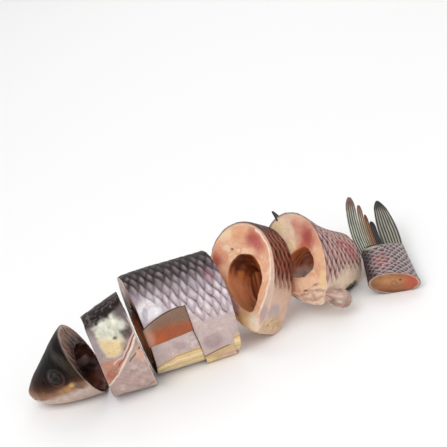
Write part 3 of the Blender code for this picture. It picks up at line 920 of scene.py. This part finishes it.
def steak_front_cut(at):
    """Flesh with two bruises, fat at the back and belly, and the wall folded outward."""
    paint = flesh(at)
    paint.spot("c9806a", 0.55, (-19, 88), (14, 17), 0, 0.9)
    paint.spot("c9806a", 0.6, (26, 84), (11, 18), 0, 0.9)
    paint.spot("efd7ae", 0.8, (10, 107), (8, 6), 0, 0.8)
    paint.spot("dba27c", 0.5, (-8, 100), (12, 10), 0, 0.8)
    paint.spot("a03c3a", 0.8, (-19, 92), (7, 8), 30, 0.7)
    paint.spot("ab4a45", 0.75, (-24, 82), (5, 8), -10, 0.8)
    paint.spot("9c3a34", 0.85, (30, 84), (6, 10), -10, 0.8)
    paint.spot("ecc9a4", 0.6, (21, 71), (7, 5), 20, 0.8)
    paint.spot("b5704c", 0.6, (28, 56), (5, 14), 0, 0.8)
    paint.spot("f2dcc0", 0.6, (14, 93), (4, 3), 30, 0.8)
    paint.coat("f0c8aa", 0.85 * smooth(0.72, 0.92, at.share) * smooth(72, 80, at.z))
    paint.spot("d9a664", 0.85, (14, 15), (8, 11), -30, 0.7)
    paint.spot("efd6a6", 0.7, (8, 10), (5, 9), -20, 0.7)
    paint.spot("f2e4cc", 0.85, (1, 8), (7, 10), -10, 0.7)
    paint.line("b5653a", 0.8, ((29, 50), (25, 33), (18, 22)), 6.0)
    paint.spot("b08088", 0.85, (20, 34), (4.5, 12), -15, 0.7)
    paint.line("f0cdb0", 0.8, ((12, 84), (0, 85), (-10, 82), (-15, 72), (-16, 56), (-9, 36)), 3.0)
    paint.coat("cfb7a9", 0.9 * field_inside(at.w, at.v, FOLDED_WALL, 1.6))
    paint.spot("a8959a", 0.65, (-13, 13), (5, 8), 30)
    paint.line("f5e0d2", 0.85, FOLDED_EDGE, 3.0)
    paint.coat("3f241a", 0.9 * oval(at.y, at.z, (7, 89), (1.4, 1.4)))
    return skin_edge(paint)


def steak_rear_cut(at):
    """Flesh with a long bruise, a bone's pale end and the torn wall under the hollow."""
    paint = flesh(at, "dca483")
    paint.spot("f6e2ca", 0.8, (2, 94), (26, 20), 0, 0.9)
    paint.spot("cf8672", 0.6, (-20, 74), (13, 20), 0, 0.9)
    paint.spot("ecd0a0", 0.8, (5, 99), (9, 9), 0, 0.8)
    paint.spot("a03a3a", 0.85, (-24, 69), (7, 12), 25, 0.8)
    paint.spot("c4604f", 0.65, (-15, 62), (7, 6), 0, 0.8)
    paint.spot("c4665a", 0.5, (-18, 86), (5, 8), 0, 0.8)
    paint.spot("f3e0cc", 0.5, (-9, 84), (3, 6), 20, 0.8)
    paint.spot("b85c4a", 0.6, (26, 66), (6, 12), 0, 0.8)
    paint.spot("e9bd98", 0.8, (-27, 44), (6, 12))
    paint.spot("efcb9a", 0.9, (-17, 22), (6, 10), 30)
    paint.spot("ecc4a4", 0.9, (3, 31), (15, 6), 20)
    paint.coat("f3d9ae", 0.8 * oval(at.w, at.v, (0, bone_middle(STEAK_REAR.start)), (8, 7), 0, 0.4))
    below = distance_below(at, LOWER_FLAP)
    paint.coat("dabaa2", 0.85 * smooth(-3.0, 4.0, below + 2 * at.noise(4, 135)))
    layers = np.sin(math.tau * (below / 8 + 0.9 * at.lumps(9, 136)))
    paint.coat("9a6c60", 0.45 * smooth(0.2, 1.0, layers) * smooth(0, 3, below))
    paint.coat("ecd6c2", 0.5 * smooth(-0.1, -1.0, layers) * smooth(0, 3, below))
    paint.coat("96695f", 0.4 * smooth(0.0, 0.8, at.noise(4, 137)) * smooth(0, 4, below))
    paint.relief -= 0.5 * layers * smooth(0, 3, below)
    paint.coat("efdcc4", 0.7 * stroke(at.w, at.v, LOWER_FLAP, 3.4) * smooth(-0.6, 0.2, at.noise(5, 139)))
    paint.coat("432719", 0.9 * oval(at.y, at.z, (9, 25.5), (3.2, 1.0), 22))
    paint.coat("5a3a2c", 0.7 * oval(at.y, at.z, (-5, 24), (3.6, 0.8), 15))
    paint.relief += 1.0 * stroke(at.w, at.v, LOWER_FLAP, 4.0)
    return skin_edge(paint)


def distance_below(at, line):
    """How far a place on a cut is below a line that runs from right to left."""
    across, up = zip(*line)
    return np.interp(at.w, across[::-1], up[::-1]) - at.v


def tail_cut(at):
    """Brown flesh, red below and dark towards one side."""
    paint = Paint(at, "a26c4c")
    paint.coat("bd8a66", 0.6 * smooth(0.0, 0.7, at.lumps(7, 143)))
    paint.spot("b8503c", 0.75, (-3, 36), (12, 9), 0, 0.9)
    paint.spot("82573c", 0.7, (0, 76), (12, 8), 0, 0.9)
    paint.spot("c8955f", 0.6, (-3, 58), (4, 12), 0, 0.9)
    paint.swell(0.3, 6, 145)
    paint.coat("4a2b1c", 0.6 * smooth(6, 11, at.w))
    paint.coat("2f1a12", 0.9 * oval(at.y, at.z, (-4, 48), (1.0, 1.2)))
    paint.mottle(0.12, 4, 141)
    return skin_edge(paint)


def head_cut(at):
    """Bone, gristle and dark flesh, with painted shade that darkens it towards the hollow and lower down.
    """
    paint = Paint(at, "8f6b5e")
    streaks = noise(np.stack([0 * at.y, at.y * 1.3, at.z * 0.22], axis=-1), 2.2, 151)
    paint.coat("c6a79c", 0.65 * smooth(0.1, 0.7, streaks))
    paint.coat("49281e", 0.7 * smooth(-0.1, -0.7, streaks))
    paint.coat("5d4a42", 0.5 * smooth(0.2, 0.8, at.lumps(8, 153)))
    # Painted shade: near black towards the hollow, and from a shorter way in where the cut is lower.
    uneven = at.share + 0.12 * at.noise(9, 157)
    paint.coat("2b130e", 0.9 * smooth(0.35, 0.95, uneven))
    paint.coat("2b130e", 0.9 * smooth(0.10, 0.35, uneven) * smooth(72, 52, at.z))
    paint.coat("c9b4a8", 0.7 * smooth(0.16, 0.09, at.share))
    paint.coat("4b423e", 0.7 * smooth(0.05, 0.03, at.share))
    paint.relief += 0.5 * streaks * smooth(0.05, 0.2, at.share)
    paint.swell(0.7, 7, 155)
    return paint


def body_front_cut(at):
    """The cut behind the head, pale at the back, with painted shade that darkens its lower part where the
    gill hollow opens.
    """
    paint = head_cut(at)
    # Painted shade over the lower part of the cut.
    paint.coat("4a2a1b", 0.75 * smooth(90, 74, at.z))
    paint.coat("c9b3ae", 0.9 * smooth(74, 92, at.z) * smooth(1.0, 0.8, at.share))
    return paint


def belly_wall(at, colour="ba6a42", roof=0.8):
    """The wall of the emptied belly, with its ribs, darkest under the backbone."""
    paint = Paint(at, colour)
    streaks = noise(np.stack([at.s, at.angle * 3.5, 0 * at.s], axis=-1), 2.1, 161)
    paint.coat("cc8248", 0.75 * smooth(0.05, 0.7, streaks))
    paint.coat("54240f", 0.75 * smooth(-0.05, -0.7, streaks))
    up = np.sin(at.angle)
    paint.coat("d48c66", 0.6 * smooth(0.1, 0.9, np.cos(at.angle + math.pi)) * smooth(0.6, 0.1, up))
    paint.coat("86603a", 0.5 * smooth(-0.3, -0.8, up))
    paint.coat("3c100a", roof * smooth(0.55, 1.0, up + 0.25 * at.noise(5, 163)))
    paint.coat("3a1a10", 0.35 * smooth(0.2, 0.8, at.lumps(9, 165)))
    paint.relief += 0.5 * streaks
    paint.swell(0.8, 8, 167)
    return paint


def short_wall(at):
    """The wall of the rear slice's hollow, red-brown above and grey below."""
    paint = belly_wall(at, "dc7c4c", 0.25)
    grey = smooth(61, 51, at.z + 4 * at.noise(6, 169))
    paint.coat("ccb6ac", 0.85 * grey)
    paint.coat("6a5a54", 0.5 * grey * smooth(0.0, 0.7, at.noise(5, 168)))
    return paint


def mouth_wall(at):
    """The wall of the hollow in the head's front piece, streaked and paler under its roof."""
    paint = gill_wall(at)
    streaks = smooth(-0.2, 0.6, noise(np.stack([0.2 * at.s, at.angle * 9, 0 * at.s], axis=-1), 1.6, 175))
    roof = smooth(26, 48, at.z) * smooth(0.9, 0.2, at.share)
    paint.coat("d8bab4", 0.8 * roof * streaks)
    paint.coat("6b3d30", 0.6 * roof * (1 - streaks))
    return paint


def gill_wall(at):
    """Dark red-brown, paler on its floor."""
    paint = Paint(at, "27110c")
    paint.coat("5c2a20", 0.7 * smooth(0.0, 0.8, at.lumps(8, 171)))
    paint.coat("7a4434", 0.6 * smooth(-0.6, -0.95, np.sin(at.angle)))
    paint.swell(1.2, 7, 173)
    return paint


PAINTERS = {
    "head_front": (head_front_skin, None, head_cut, mouth_wall),
    "head_rear": (head_rear_skin, head_cut, head_cut, gill_wall),
    "body_front": (body_front_skin, body_front_cut, plain_cut, belly_wall),
    "steak_front": (steak_front_skin, steak_front_cut, plain_cut, belly_wall),
    "steak_rear": (steak_rear_skin, steak_rear_cut, plain_cut, short_wall),
    "tail_end": (tail_skin, tail_cut, plain_cut, None),
}


def finish_grid(piece, grid, closed):
    """Points of the piece and the colour at each, with the relief worked in."""
    points = np.array(grid.points)
    station = np.array(grid.station)[:, None] + np.zeros(AROUND)
    angle = np.zeros(station.shape) + ANGLES
    region = np.array(grid.region)
    share = np.array(grid.share)[:, None] + np.zeros(AROUND)
    colours = np.zeros(points.shape)
    relief = np.zeros(station.shape)
    for kind, painter in zip((SKIN, CUT_FRONT, CUT_REAR, HOLLOW), PAINTERS[piece.name]):
        rows = region == kind
        if rows.any():
            on_cut = kind in (CUT_FRONT, CUT_REAR)
            paint = painter(Where(station[rows], angle[rows], share[rows], points[rows], on_cut))
            colours[rows], relief[rows] = paint.colour, paint.relief
    normals = grid_normals(points, closed)
    return points + normals * relief[..., None], colours, region


def grid_mesh(name, points, colours, closed, region=None, materials=()):
    """A mesh of a grid of rings, with a fan over each end of an open one."""
    rows, around = points.shape[:2]
    index = np.arange(rows * around).reshape(rows, around)
    top = index if closed else index[:-1]
    low = np.roll(index, -1, axis=0) if closed else index[1:]
    quads = np.stack([top, low, np.roll(low, -1, axis=1), np.roll(top, -1, axis=1)], axis=-1).reshape(-1, 4)
    kinds = np.repeat(region[: len(top)], around) if region is not None else np.zeros(len(quads), int)
    verts = points.reshape(-1, 3)
    paint = colours.reshape(-1, 3)
    faces = quads.tolist()
    kinds = kinds.tolist()
    if not closed:
        ends = np.stack([points[0].mean(axis=0), points[-1].mean(axis=0)])
        verts = np.concatenate([verts, ends])
        paint = np.concatenate([paint, [colours[0].mean(axis=0), colours[-1].mean(axis=0)]])
        first, last = rows * around, rows * around + 1
        for k in range(around):
            after = (k + 1) % around
            faces.append([int(index[0, k]), int(index[0, after]), first])
            faces.append([int(index[-1, after]), int(index[-1, k]), last])
            kinds += [int(region[0]), int(region[-1])] if region is not None else [0, 0]
    mesh = bpy.data.meshes.new(name)
    mesh.from_pydata((verts * MM).tolist(), [], faces)
    layer = mesh.color_attributes.new("paint", "FLOAT_COLOR", "POINT")
    opaque = np.column_stack([paint, np.ones(len(paint))]).astype(np.float32)
    layer.data.foreach_set("color", opaque.ravel())
    for material in materials:
        mesh.materials.append(material)
    mesh.polygons.foreach_set("material_index", np.array(kinds, np.int32))
    mesh.shade_smooth()
    mesh.update()
    made = bpy.data.objects.new(name, mesh)
    bpy.context.scene.collection.objects.link(made)
    return made


def set_inputs(node, values):
    """Constant values on a node's sockets, by their names."""
    for name, value in values.items():
        node.inputs[name].default_value = value


def painted(name, roughness, grain_size, grain_depth, speckle=0.15, subsurface=0.0, sheen=0.25):
    """A material that takes its broad colour from the paint attribute and adds a fine grain."""
    material = bpy.data.materials.new(name)
    material.use_nodes = True
    nodes, links = material.node_tree.nodes, material.node_tree.links
    shader = nodes["Principled BSDF"]
    set_inputs(shader, {
        "Specular IOR Level": sheen,
        "Subsurface Weight": subsurface,
        "Subsurface Radius": LIGHT_REACH,
        "Subsurface Scale": 1.0,
    })
    paint = nodes.new("ShaderNodeAttribute")
    paint.attribute_name = "paint"
    place = nodes.new("ShaderNodeTexCoord")
    grain = nodes.new("ShaderNodeTexNoise")
    set_inputs(grain, {"Scale": 1 / (grain_size * MM), "Detail": 4})
    links.new(place.outputs["Object"], grain.inputs["Vector"])
    span = nodes.new("ShaderNodeMapRange")
    set_inputs(span, {"From Min": 0.25, "From Max": 0.75, "To Min": 1 - speckle, "To Max": 1 + speckle})
    links.new(grain.outputs["Fac"], span.inputs["Value"])
    scale = nodes.new("ShaderNodeVectorMath")
    scale.operation = "SCALE"
    links.new(paint.outputs["Color"], scale.inputs[0])
    links.new(span.outputs["Result"], scale.inputs["Scale"])
    links.new(scale.outputs["Vector"], shader.inputs["Base Color"])
    wet = nodes.new("ShaderNodeMapRange")
    dull = {"To Min": roughness * 0.75, "To Max": roughness * 1.3}
    set_inputs(wet, {"From Min": 0.3, "From Max": 0.7, **dull})
    links.new(grain.outputs["Fac"], wet.inputs["Value"])
    links.new(wet.outputs["Result"], shader.inputs["Roughness"])
    bump = nodes.new("ShaderNodeBump")
    set_inputs(bump, {"Strength": 1.0, "Distance": grain_depth * MM})
    links.new(grain.outputs["Fac"], bump.inputs["Height"])
    links.new(bump.outputs["Normal"], shader.inputs["Normal"])
    return material


def own(piece_object, slot, *nodes):
    """Set a piece down as part of the object, in place of its plain solids."""
    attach(piece_object, "root")
    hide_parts(*nodes)


def flesh_piece(piece, materials, slot):
    """One of the six pieces, with its skin, cuts and hollow."""
    grid, closed = piece_grid(piece)
    points, colours, region = finish_grid(piece, grid, closed)
    made = grid_mesh(piece.name + "_flesh", set_down(points, piece), colours, closed, region, materials)
    own(made, slot, piece.name)


def curve(points, shares):
    """Points of the smooth curve through three points."""
    first, middle, last = np.array(points, float)
    t = np.asarray(shares)[..., None]
    return first * (1 - t) * (1 - 2 * t) + middle * 4 * t * (1 - t) + last * t * (2 * t - 1)


def two_sided(front, back, across, shares):
    """Rings round a thin body from its two faces, and how far across and along it each point is."""
    rings = np.concatenate([front, back[:, ::-1]], axis=1)
    fraction = np.concatenate([across, across[::-1]])[None, :] + np.zeros((len(shares), 1))
    height = shares[:, None] + np.zeros(fraction.shape[1])
    return rings, fraction, height


def fin_blade(name, piece, edges, thickness, rays, material, tones):
    """A thin rayed fin between two curved edges, thinner at its rims and notched at its round tip."""
    shares = np.linspace(0, 1, 80)
    across = np.linspace(0, 1, 8 * rays + 1)
    ray = np.abs(np.cos(math.pi * rays * across))
    reach = shares[:, None] * (1 - TIP_NOTCH * (1 - ray))
    into_tip = np.clip((shares - 1 + BLADE_TIP) / BLADE_TIP, 0, 1)
    width = np.sqrt(1 - (BLADE_ROUND * into_tip) ** 2)[:, None]
    a, b = (curve(edge, reach) for edge in edges)
    middle = between(a, b, (0.5 + (across - 0.5) * width)[..., None])
    rim = np.sqrt(np.clip(1 - (2 * across - 1) ** 8, 0, 1))
    half = between(*thickness, shares)[:, None] / 2 * rim * (0.5 + 0.5 * ray ** 1.5)
    left = np.stack([middle[..., 0], -middle[..., 1] - half, middle[..., 2]], axis=-1)
    right = np.stack([middle[..., 0], -middle[..., 1] + half, middle[..., 2]], axis=-1)
    rings, fraction, height = two_sided(left, right, across, shares)
    colours = ray_colours(fraction, height, rays, rings, *tones)
    made = grid_mesh(name, set_down(rings, piece), colours, False, None, [material])
    own(made, "scaly_skin", piece.name)


def ray_colours(fraction, height, rays, points, skin, ray, rim, tip):
    """Colours of a fin: its skin, its rays, its two rims and its tip."""
    wavy = fraction + 0.012 * noise(points, 14, 127)
    line = smooth(0.45, 0.95, np.abs(np.cos(math.pi * rays * wavy)))
    broken = 0.8 + 0.2 * noise(points * (0.3, 1, 1), 3, 125)
    base = tint(flat_colour(skin, fraction.shape), ray, line * broken)
    base = tint(base, rim, 0.7 * smooth(0.80, 0.98, np.abs(2 * fraction - 1)))
    base = tint(base, tip, 0.85 * smooth(0.74, 0.98, height + 0.06 * noise(points, 4, 123)))
    return mottled(base, 0.15, lumps(points, 5, 121))


def skin_slab(name, piece, edges, proud, side, material, colour_of, bow=0.0, rays=0):
    """A slab that lies on the skin between two levels at each end, its upper edge bowed upward."""
    (start, low_0, high_0), (end, low_1, high_1) = edges
    shares = np.linspace(0, 1, 60)
    across = np.linspace(0, 1, 76)
    s = between(start, end, shares)[:, None] + np.zeros(len(across))
    low = between(low_0, low_1, shares)[:, None]
    high = (between(high_0, high_1, shares) + bow * 4 * shares * (1 - shares))[:, None]
    z = between(low, high, across)
    off = skin_beside(s, np.maximum(z, PATCH_TUCK))
    rim = np.sqrt(np.clip(1 - (2 * across - 1) ** 10, 0, 1))
    ends = np.sqrt(np.clip(1 - (2 * shares - 1) ** 24, 0, 1))[:, None]
    ridge = 0.8 + 0.2 * np.abs(np.cos(math.pi * rays * across)) if rays else 1.0
    out = off + between(*proud, across) * rim * ends * ridge
    outer = np.stack([along(piece, s, 0, z), side * out, z], axis=-1)
    inner = np.stack([along(piece, s, 0, z), side * (off - PATCH_ROOT), z], axis=-1)
    rings, fraction, height = two_sided(outer, inner, across, shares)
    if side > 0:
        rings = rings[:, ::-1]
    colours = colour_of(fraction, height, rings)
    made = grid_mesh(name, set_down(rings, piece), colours, False, None, [material])
    own(made, "scaly_skin", piece.name)


def pectoral_colour(up, back, points):
    """Orange-brown below and at the root, grey-brown at the upper rear, with fine rays."""
    base = tint(flat_colour("a95c3a", up.shape), "876e5c", smooth(0.35, 0.75, up + 0.35 * back - 0.2))
    base = tint(base, "c9a488", 0.6 * smooth(0.25, 0.0, back) * smooth(0.3, 0.8, up))
    base = tint(base, "ddb09a", 0.5 * oval(back, up, (0.08, 0.35), (0.1, 0.3), 0, 0.8))
    base = tint(base, "c25f2c", 0.7 * oval(back, up, (0.32, 0.2), (0.14, 0.16)))
    dark = np.abs(np.sin(math.pi * PECTORAL_RAYS * up)) ** 3
    base = tint(base, "6e3a22", 0.5 * dark * smooth(0.1, 0.4, back))
    base = tint(base, "2a201c", 0.9 * smooth(0.955, 0.985, up))
    base = tint(base, "4a3028", 0.8 * smooth(0.965, 0.99, back + 0.01 * noise(points, 2, 143)))
    return mottled(base, 0.12, lumps(points, 4, 141))


def flap_colour(up, back, points):
    """The flank's pale skin above a crease, and the belly's fat below it."""
    base = tint(flat_colour("c6b1ad", up.shape), "94787f", 0.5 * oval(back, up, (0.4, 0.75), (0.3, 0.25)))
    crease = up - np.interp(back, (0, 0.4, 0.8, 1), (0.30, 0.40, 0.46, 0.42))
    base = tint(base, "d3b684", 0.9 * smooth(0.02, -0.02, crease))
    base = tint(base, "dcb8a4", 0.7 * smooth(-0.12, -0.2, crease) * smooth(0.3, 0.6, back))
    base = tint(base, "f0dca8", 0.6 * oval(back, up, (0.15, 0.12), (0.2, 0.08)))
    base = tint(base, "6e4518", 0.8 * smooth(0.035, 0.01, np.abs(crease)) * smooth(0.95, 0.75, back))
    return mottled(base, 0.12, lumps(points, 7, 151))


def belly_roll(piece, material):
    """The soft roll under the rear slice."""
    places = np.array(BELLY_ROLL, float)
    at = np.linspace(0, len(places) - 1, 60)
    x, y, z, radius = (np.interp(at, np.arange(len(places)), places[:, k]) for k in range(4))
    turns = np.arange(96) * math.tau / 96
    end = np.sqrt(np.clip(1 - (2 * at / at[-1] - 1) ** 12, 0.02, 1))
    r = (radius * end)[:, None]
    c, d = np.cos(turns) + 0 * r, np.sin(turns) + 0 * r
    rings = np.stack([x[:, None] + 0 * c, y[:, None] - r * c, z[:, None] + r * d], axis=-1)
    folds = noise(np.stack([0.25 * rings[..., 0], 4 + 3 * c, 4 + 3 * d], axis=-1), 1.3, 163)
    rings += grid_normals(rings, False) * (0.4 * lumps(rings, 9, 161) + 0.5 * folds)[..., None]
    base = flat_colour("b3988a", rings.shape[:2])
    base = tint(base, "6e5448", smooth(0.1, 0.6, lumps(rings, 9, 171)) * 0.7)
    base = tint(base, "7a5a50", smooth(-0.1, -0.7, folds) * 0.5)
    base = tint(base, "e6d2c2", smooth(0.2, 0.8, folds) * 0.5)
    base = tint(base, "b87f70", smooth(0.1, 0.6, lumps(rings, 7, 175)) * 0.5)
    made = grid_mesh("belly_roll", set_down(rings, piece), base, False, None, [material])
    own(made, "scaly_skin", piece.name)


def gut_wall(piece, s, material):
    """A sheet of the belly's lining that closes the hollow of the front slice near its rear cut."""
    low, high, wide, _ = tunnel_at(piece, (s - piece.start) / (piece.end - piece.start))
    y, z = hollow_point(s, ANGLES[::6], low, high, wide * LINING_REACH)
    middle = z.mean()
    rings = []
    outward = np.linspace(0.03, 1.0, 16)
    for off, reaches in ((0.0, outward), (LINING_THICKNESS, outward[::-1])):
        for reach in reaches:
            at = s + off + 0 * y
            inner_y, inner_z = y * reach, middle + (z - middle) * reach
            rings.append(ring(piece, at, inner_y, inner_z))
    rings = np.array(rings)
    upright = noise(rings * (0.5, 1.0, 0.15), 2.2, 193)
    base = tint(flat_colour("8c4a2a", rings.shape[:2]), "c07c46", smooth(0.0, 0.7, upright))
    base = tint(base, "4c2210", 0.7 * smooth(0.0, -0.7, upright))
    made = grid_mesh("gut_wall", set_down(rings, piece), base, False, None, [material])
    own(made, "scaly_skin", piece.name)


def backbone(piece, end, radii, past_end, colour, material):
    """A length of backbone with hollowed faces."""
    stations = np.linspace(piece.start - BONE_PROUD, end + past_end, 60)
    shares = (stations - piece.start) / (end - piece.start)
    turns = np.arange(64) * math.tau / 64
    mid = between(bone_middle(piece.start), bone_middle(end), shares)
    waist = 1 - BONE_WAIST * np.abs(np.sin(math.pi * (stations - piece.start) / BONE_LENGTH))
    radius = between(*radii, shares) * waist
    caps = (0.1, 0.3, 0.5, 0.7, 0.85)
    rows = [(stations[0] + BONE_DISH * (1 - cap), mid[0], radius[0] * cap) for cap in caps]
    rows += list(zip(stations, mid, radius))
    rows += [(stations[-1] - BONE_DISH * (1 - cap), mid[-1], radius[-1] * cap) for cap in caps[::-1]]
    rings = []
    for s, m, r in rows:
        rings.append(ring(piece, s, -r * np.cos(turns), m + r * np.sin(turns)))
    rings = np.array(rings)
    base = mottled(flat_colour(colour, rings.shape[:2]), 0.2, lumps(rings, 3, 181))
    name = "backbone_" + piece.name
    made = grid_mesh(name + "_bone", set_down(rings, piece), base, False, None, [material])
    own(made, "bone", name)


def eye(name, side, material):
    """A ball with a slightly flat dark pupil, which the head covers but for its cap."""
    s, z = EYE_PLACE
    centre = np.array([s, side * (float(skin_beside(s, z)) - EYE_RADIUS + EYE_SHOWS), z])
    polar = np.linspace(0.02, math.pi - 0.02, 50)
    turns = np.arange(60) * math.tau / 60
    r = EYE_RADIUS - 0.35 * smooth(0.42, 0.36, polar)
    reach = (r * np.sin(polar))[:, None]
    points = np.stack([
        centre[0] + reach * np.cos(turns),
        centre[1] + side * (r * np.cos(polar))[:, None] + 0 * turns,
        centre[2] - side * reach * np.sin(turns),
    ], axis=-1)
    out = polar[:, None] + 0 * turns
    base = flat_colour("15100f", points.shape[:2])
    base = tint(base, "332c28", smooth(0.40, 0.46, out) * smooth(0.62, 0.55, out))
    base = tint(base, "221a17", smooth(0.58, 0.64, out))
    made = grid_mesh(name + "_ball", set_down(points, HEAD_FRONT), base, False, None, [material])
    own(made, "eye", name)


def make_fish():
    """Every piece of the row, with its bones, eyes, fins and loose skin."""
    skin = painted("wet_skin", 0.42, 1.4, 0.14, speckle=0.12, sheen=0.1)
    flesh = painted("cut_flesh", 0.45, 0.9, 0.2, subsurface=0.15)
    hollow = painted("belly_wall", 0.32, 1.0, 0.2, sheen=0.2)
    fin = painted("fin", 0.42, 0.8, 0.1)
    bone = painted("bone", 0.5, 0.6, 0.15)
    ball = painted("eye", 0.3, 1.0, 0.02, speckle=0.06, sheen=0.2)
    faces = [skin, flesh, flesh, hollow]
    for piece in (HEAD_FRONT, HEAD_REAR):
        flesh_piece(piece, faces, "head_skin")
    for piece in (BODY_FRONT, STEAK_FRONT, STEAK_REAR, TAIL_END):
        flesh_piece(piece, faces, "scaly_skin")
    for name, side in (("eye_left", -1), ("eye_right", 1)):
        eye(name, side, ball)
    for piece, colour in ((BODY_FRONT, "e0bd92"), (STEAK_FRONT, "dfb292"), (STEAK_REAR, "edd0a8")):
        backbone(piece, piece.end, (BONE_RADIUS, BONE_RADIUS), BONE_PROUD, colour, bone)
    backbone(TAIL_END, TAIL_END.start + TAIL_BONE_LENGTH, TAIL_BONE_RADII, 0.0, "a27450", bone)
    rays, tones = WEB_LOOK
    fin_blade("tail_web", TAIL_END, TAIL_WEB, WEB_THICKNESS, rays, fin, tones)
    for k, (edges, (rays, tones)) in enumerate(zip(TAIL_BLADES, BLADE_LOOKS)):
        fin_blade(f"tail_blade_{k}", TAIL_END, edges, BLADE_THICKNESS, rays, fin, tones)
    fin_blade("back_fin_stub", STEAK_REAR, BACK_FIN_STUB, BACK_STUB_THICKNESS, 3, fin, STUB_TONES)
    fin_blade("vent_fin_stub", STEAK_REAR, VENT_FIN_STUB, VENT_STUB_THICKNESS, 4, fin, STUB_TONES)
    for side, where in ((-1, "left"), (1, "right")):
        skin_slab(f"pectoral_fin_{where}", BODY_FRONT, PECTORAL_FIN, (PECTORAL_PROUD, PECTORAL_PROUD),
                  side, fin, pectoral_colour, PECTORAL_BOW, PECTORAL_RAYS)
    skin_slab("belly_flap", BODY_FRONT, BELLY_FLAP, BELLY_FLAP_PROUD, -1, skin, flap_colour)
    belly_roll(STEAK_REAR, hollow)
    gut_wall(STEAK_FRONT, LINING_AT, hollow)


# The photograph's camera: its height above the level, the roll, the lens in pixels of a 447 pixel
# wide frame, how far off it is, and the point in the middle of its view before the row is centred.
CAMERA_ELEVATION = 27.0
CAMERA_ROLL = 17.0
CAMERA_FOCAL = 1400.0
CAMERA_DISTANCE = 1360.0
CAMERA_AIM = (32.0, 0.0, 138.6)
FRAME_WIDTH = 447
SENSOR = 36.0


def place_camera():
    """The photograph's camera, which looks along y and down, and is rolled."""
    tilt = math.radians(CAMERA_ELEVATION)
    forward = Vector((0, math.cos(tilt), -math.sin(tilt)))
    aim = Vector((CAMERA_AIM[0] - ROW_MIDDLE[0], CAMERA_AIM[1] - ROW_MIDDLE[1], CAMERA_AIM[2]))
    data = bpy.data.cameras.new("camera")
    data.sensor_width = SENSOR
    data.lens = CAMERA_FOCAL / FRAME_WIDTH * SENSOR
    camera = bpy.data.objects.new("camera", data)
    turn = Matrix.Rotation(math.radians(90 - CAMERA_ELEVATION), 4, "X")
    roll = Matrix.Rotation(math.radians(-CAMERA_ROLL), 4, "Z")
    camera.matrix_world = Matrix.Translation((aim - forward * CAMERA_DISTANCE) * MM) @ turn @ roll
    bpy.context.scene.collection.objects.link(camera)
    bpy.context.scene.camera = camera


# The lamps, each with its place in metres, power and size, and the floor and sky round the row.
LAMPS = (
    ("key_light", (-0.5, -0.9, 1.5), 11, 1.2),
    ("fill_light", (0.9, -0.7, 1.0), 3, 1.4),
    ("back_light", (0.2, 1.2, 1.2), 4, 1.2),
)
FLOOR_SIZE = 8.0
FLOOR_GAP = 0.0002
FLOOR_GREY = 0.93
SKY_STRENGTH = 0.72


def floor_material():
    material = bpy.data.materials.new("pale_floor")
    material.use_nodes = True
    shader = material.node_tree.nodes["Principled BSDF"]
    set_inputs(shader, {"Base Color": (FLOOR_GREY, FLOOR_GREY, FLOOR_GREY, 1), "Roughness": 0.9})
    return material


def studio():
    """A pale floor and soft light from large lamps above."""
    bpy.ops.mesh.primitive_plane_add(size=FLOOR_SIZE, location=(0, 0, -FLOOR_GAP))
    floor = bpy.context.object
    floor.name = "floor"
    floor.data.materials.append(floor_material())
    for name, place, energy, size in LAMPS:
        data = bpy.data.lights.new(name, "AREA")
        data.energy = energy
        data.size = size
        lamp = bpy.data.objects.new(name, data)
        lamp.location = place
        lamp.rotation_euler = (-Vector(place)).to_track_quat("-Z", "Y").to_euler()
        bpy.context.scene.collection.objects.link(lamp)
    world = bpy.data.worlds.new("world")
    world.use_nodes = True
    set_inputs(world.node_tree.nodes["Background"], {"Color": (1, 1, 1, 1), "Strength": SKY_STRENGTH})
    bpy.context.scene.world = world
    bpy.context.scene.view_settings.view_transform = "Standard"


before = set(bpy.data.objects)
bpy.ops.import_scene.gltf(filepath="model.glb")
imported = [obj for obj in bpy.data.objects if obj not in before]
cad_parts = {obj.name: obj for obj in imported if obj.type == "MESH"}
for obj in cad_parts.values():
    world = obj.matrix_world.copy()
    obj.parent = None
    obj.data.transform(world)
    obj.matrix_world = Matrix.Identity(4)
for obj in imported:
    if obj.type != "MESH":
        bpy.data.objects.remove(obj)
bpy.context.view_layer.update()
place_camera()
make_fish()
studio()
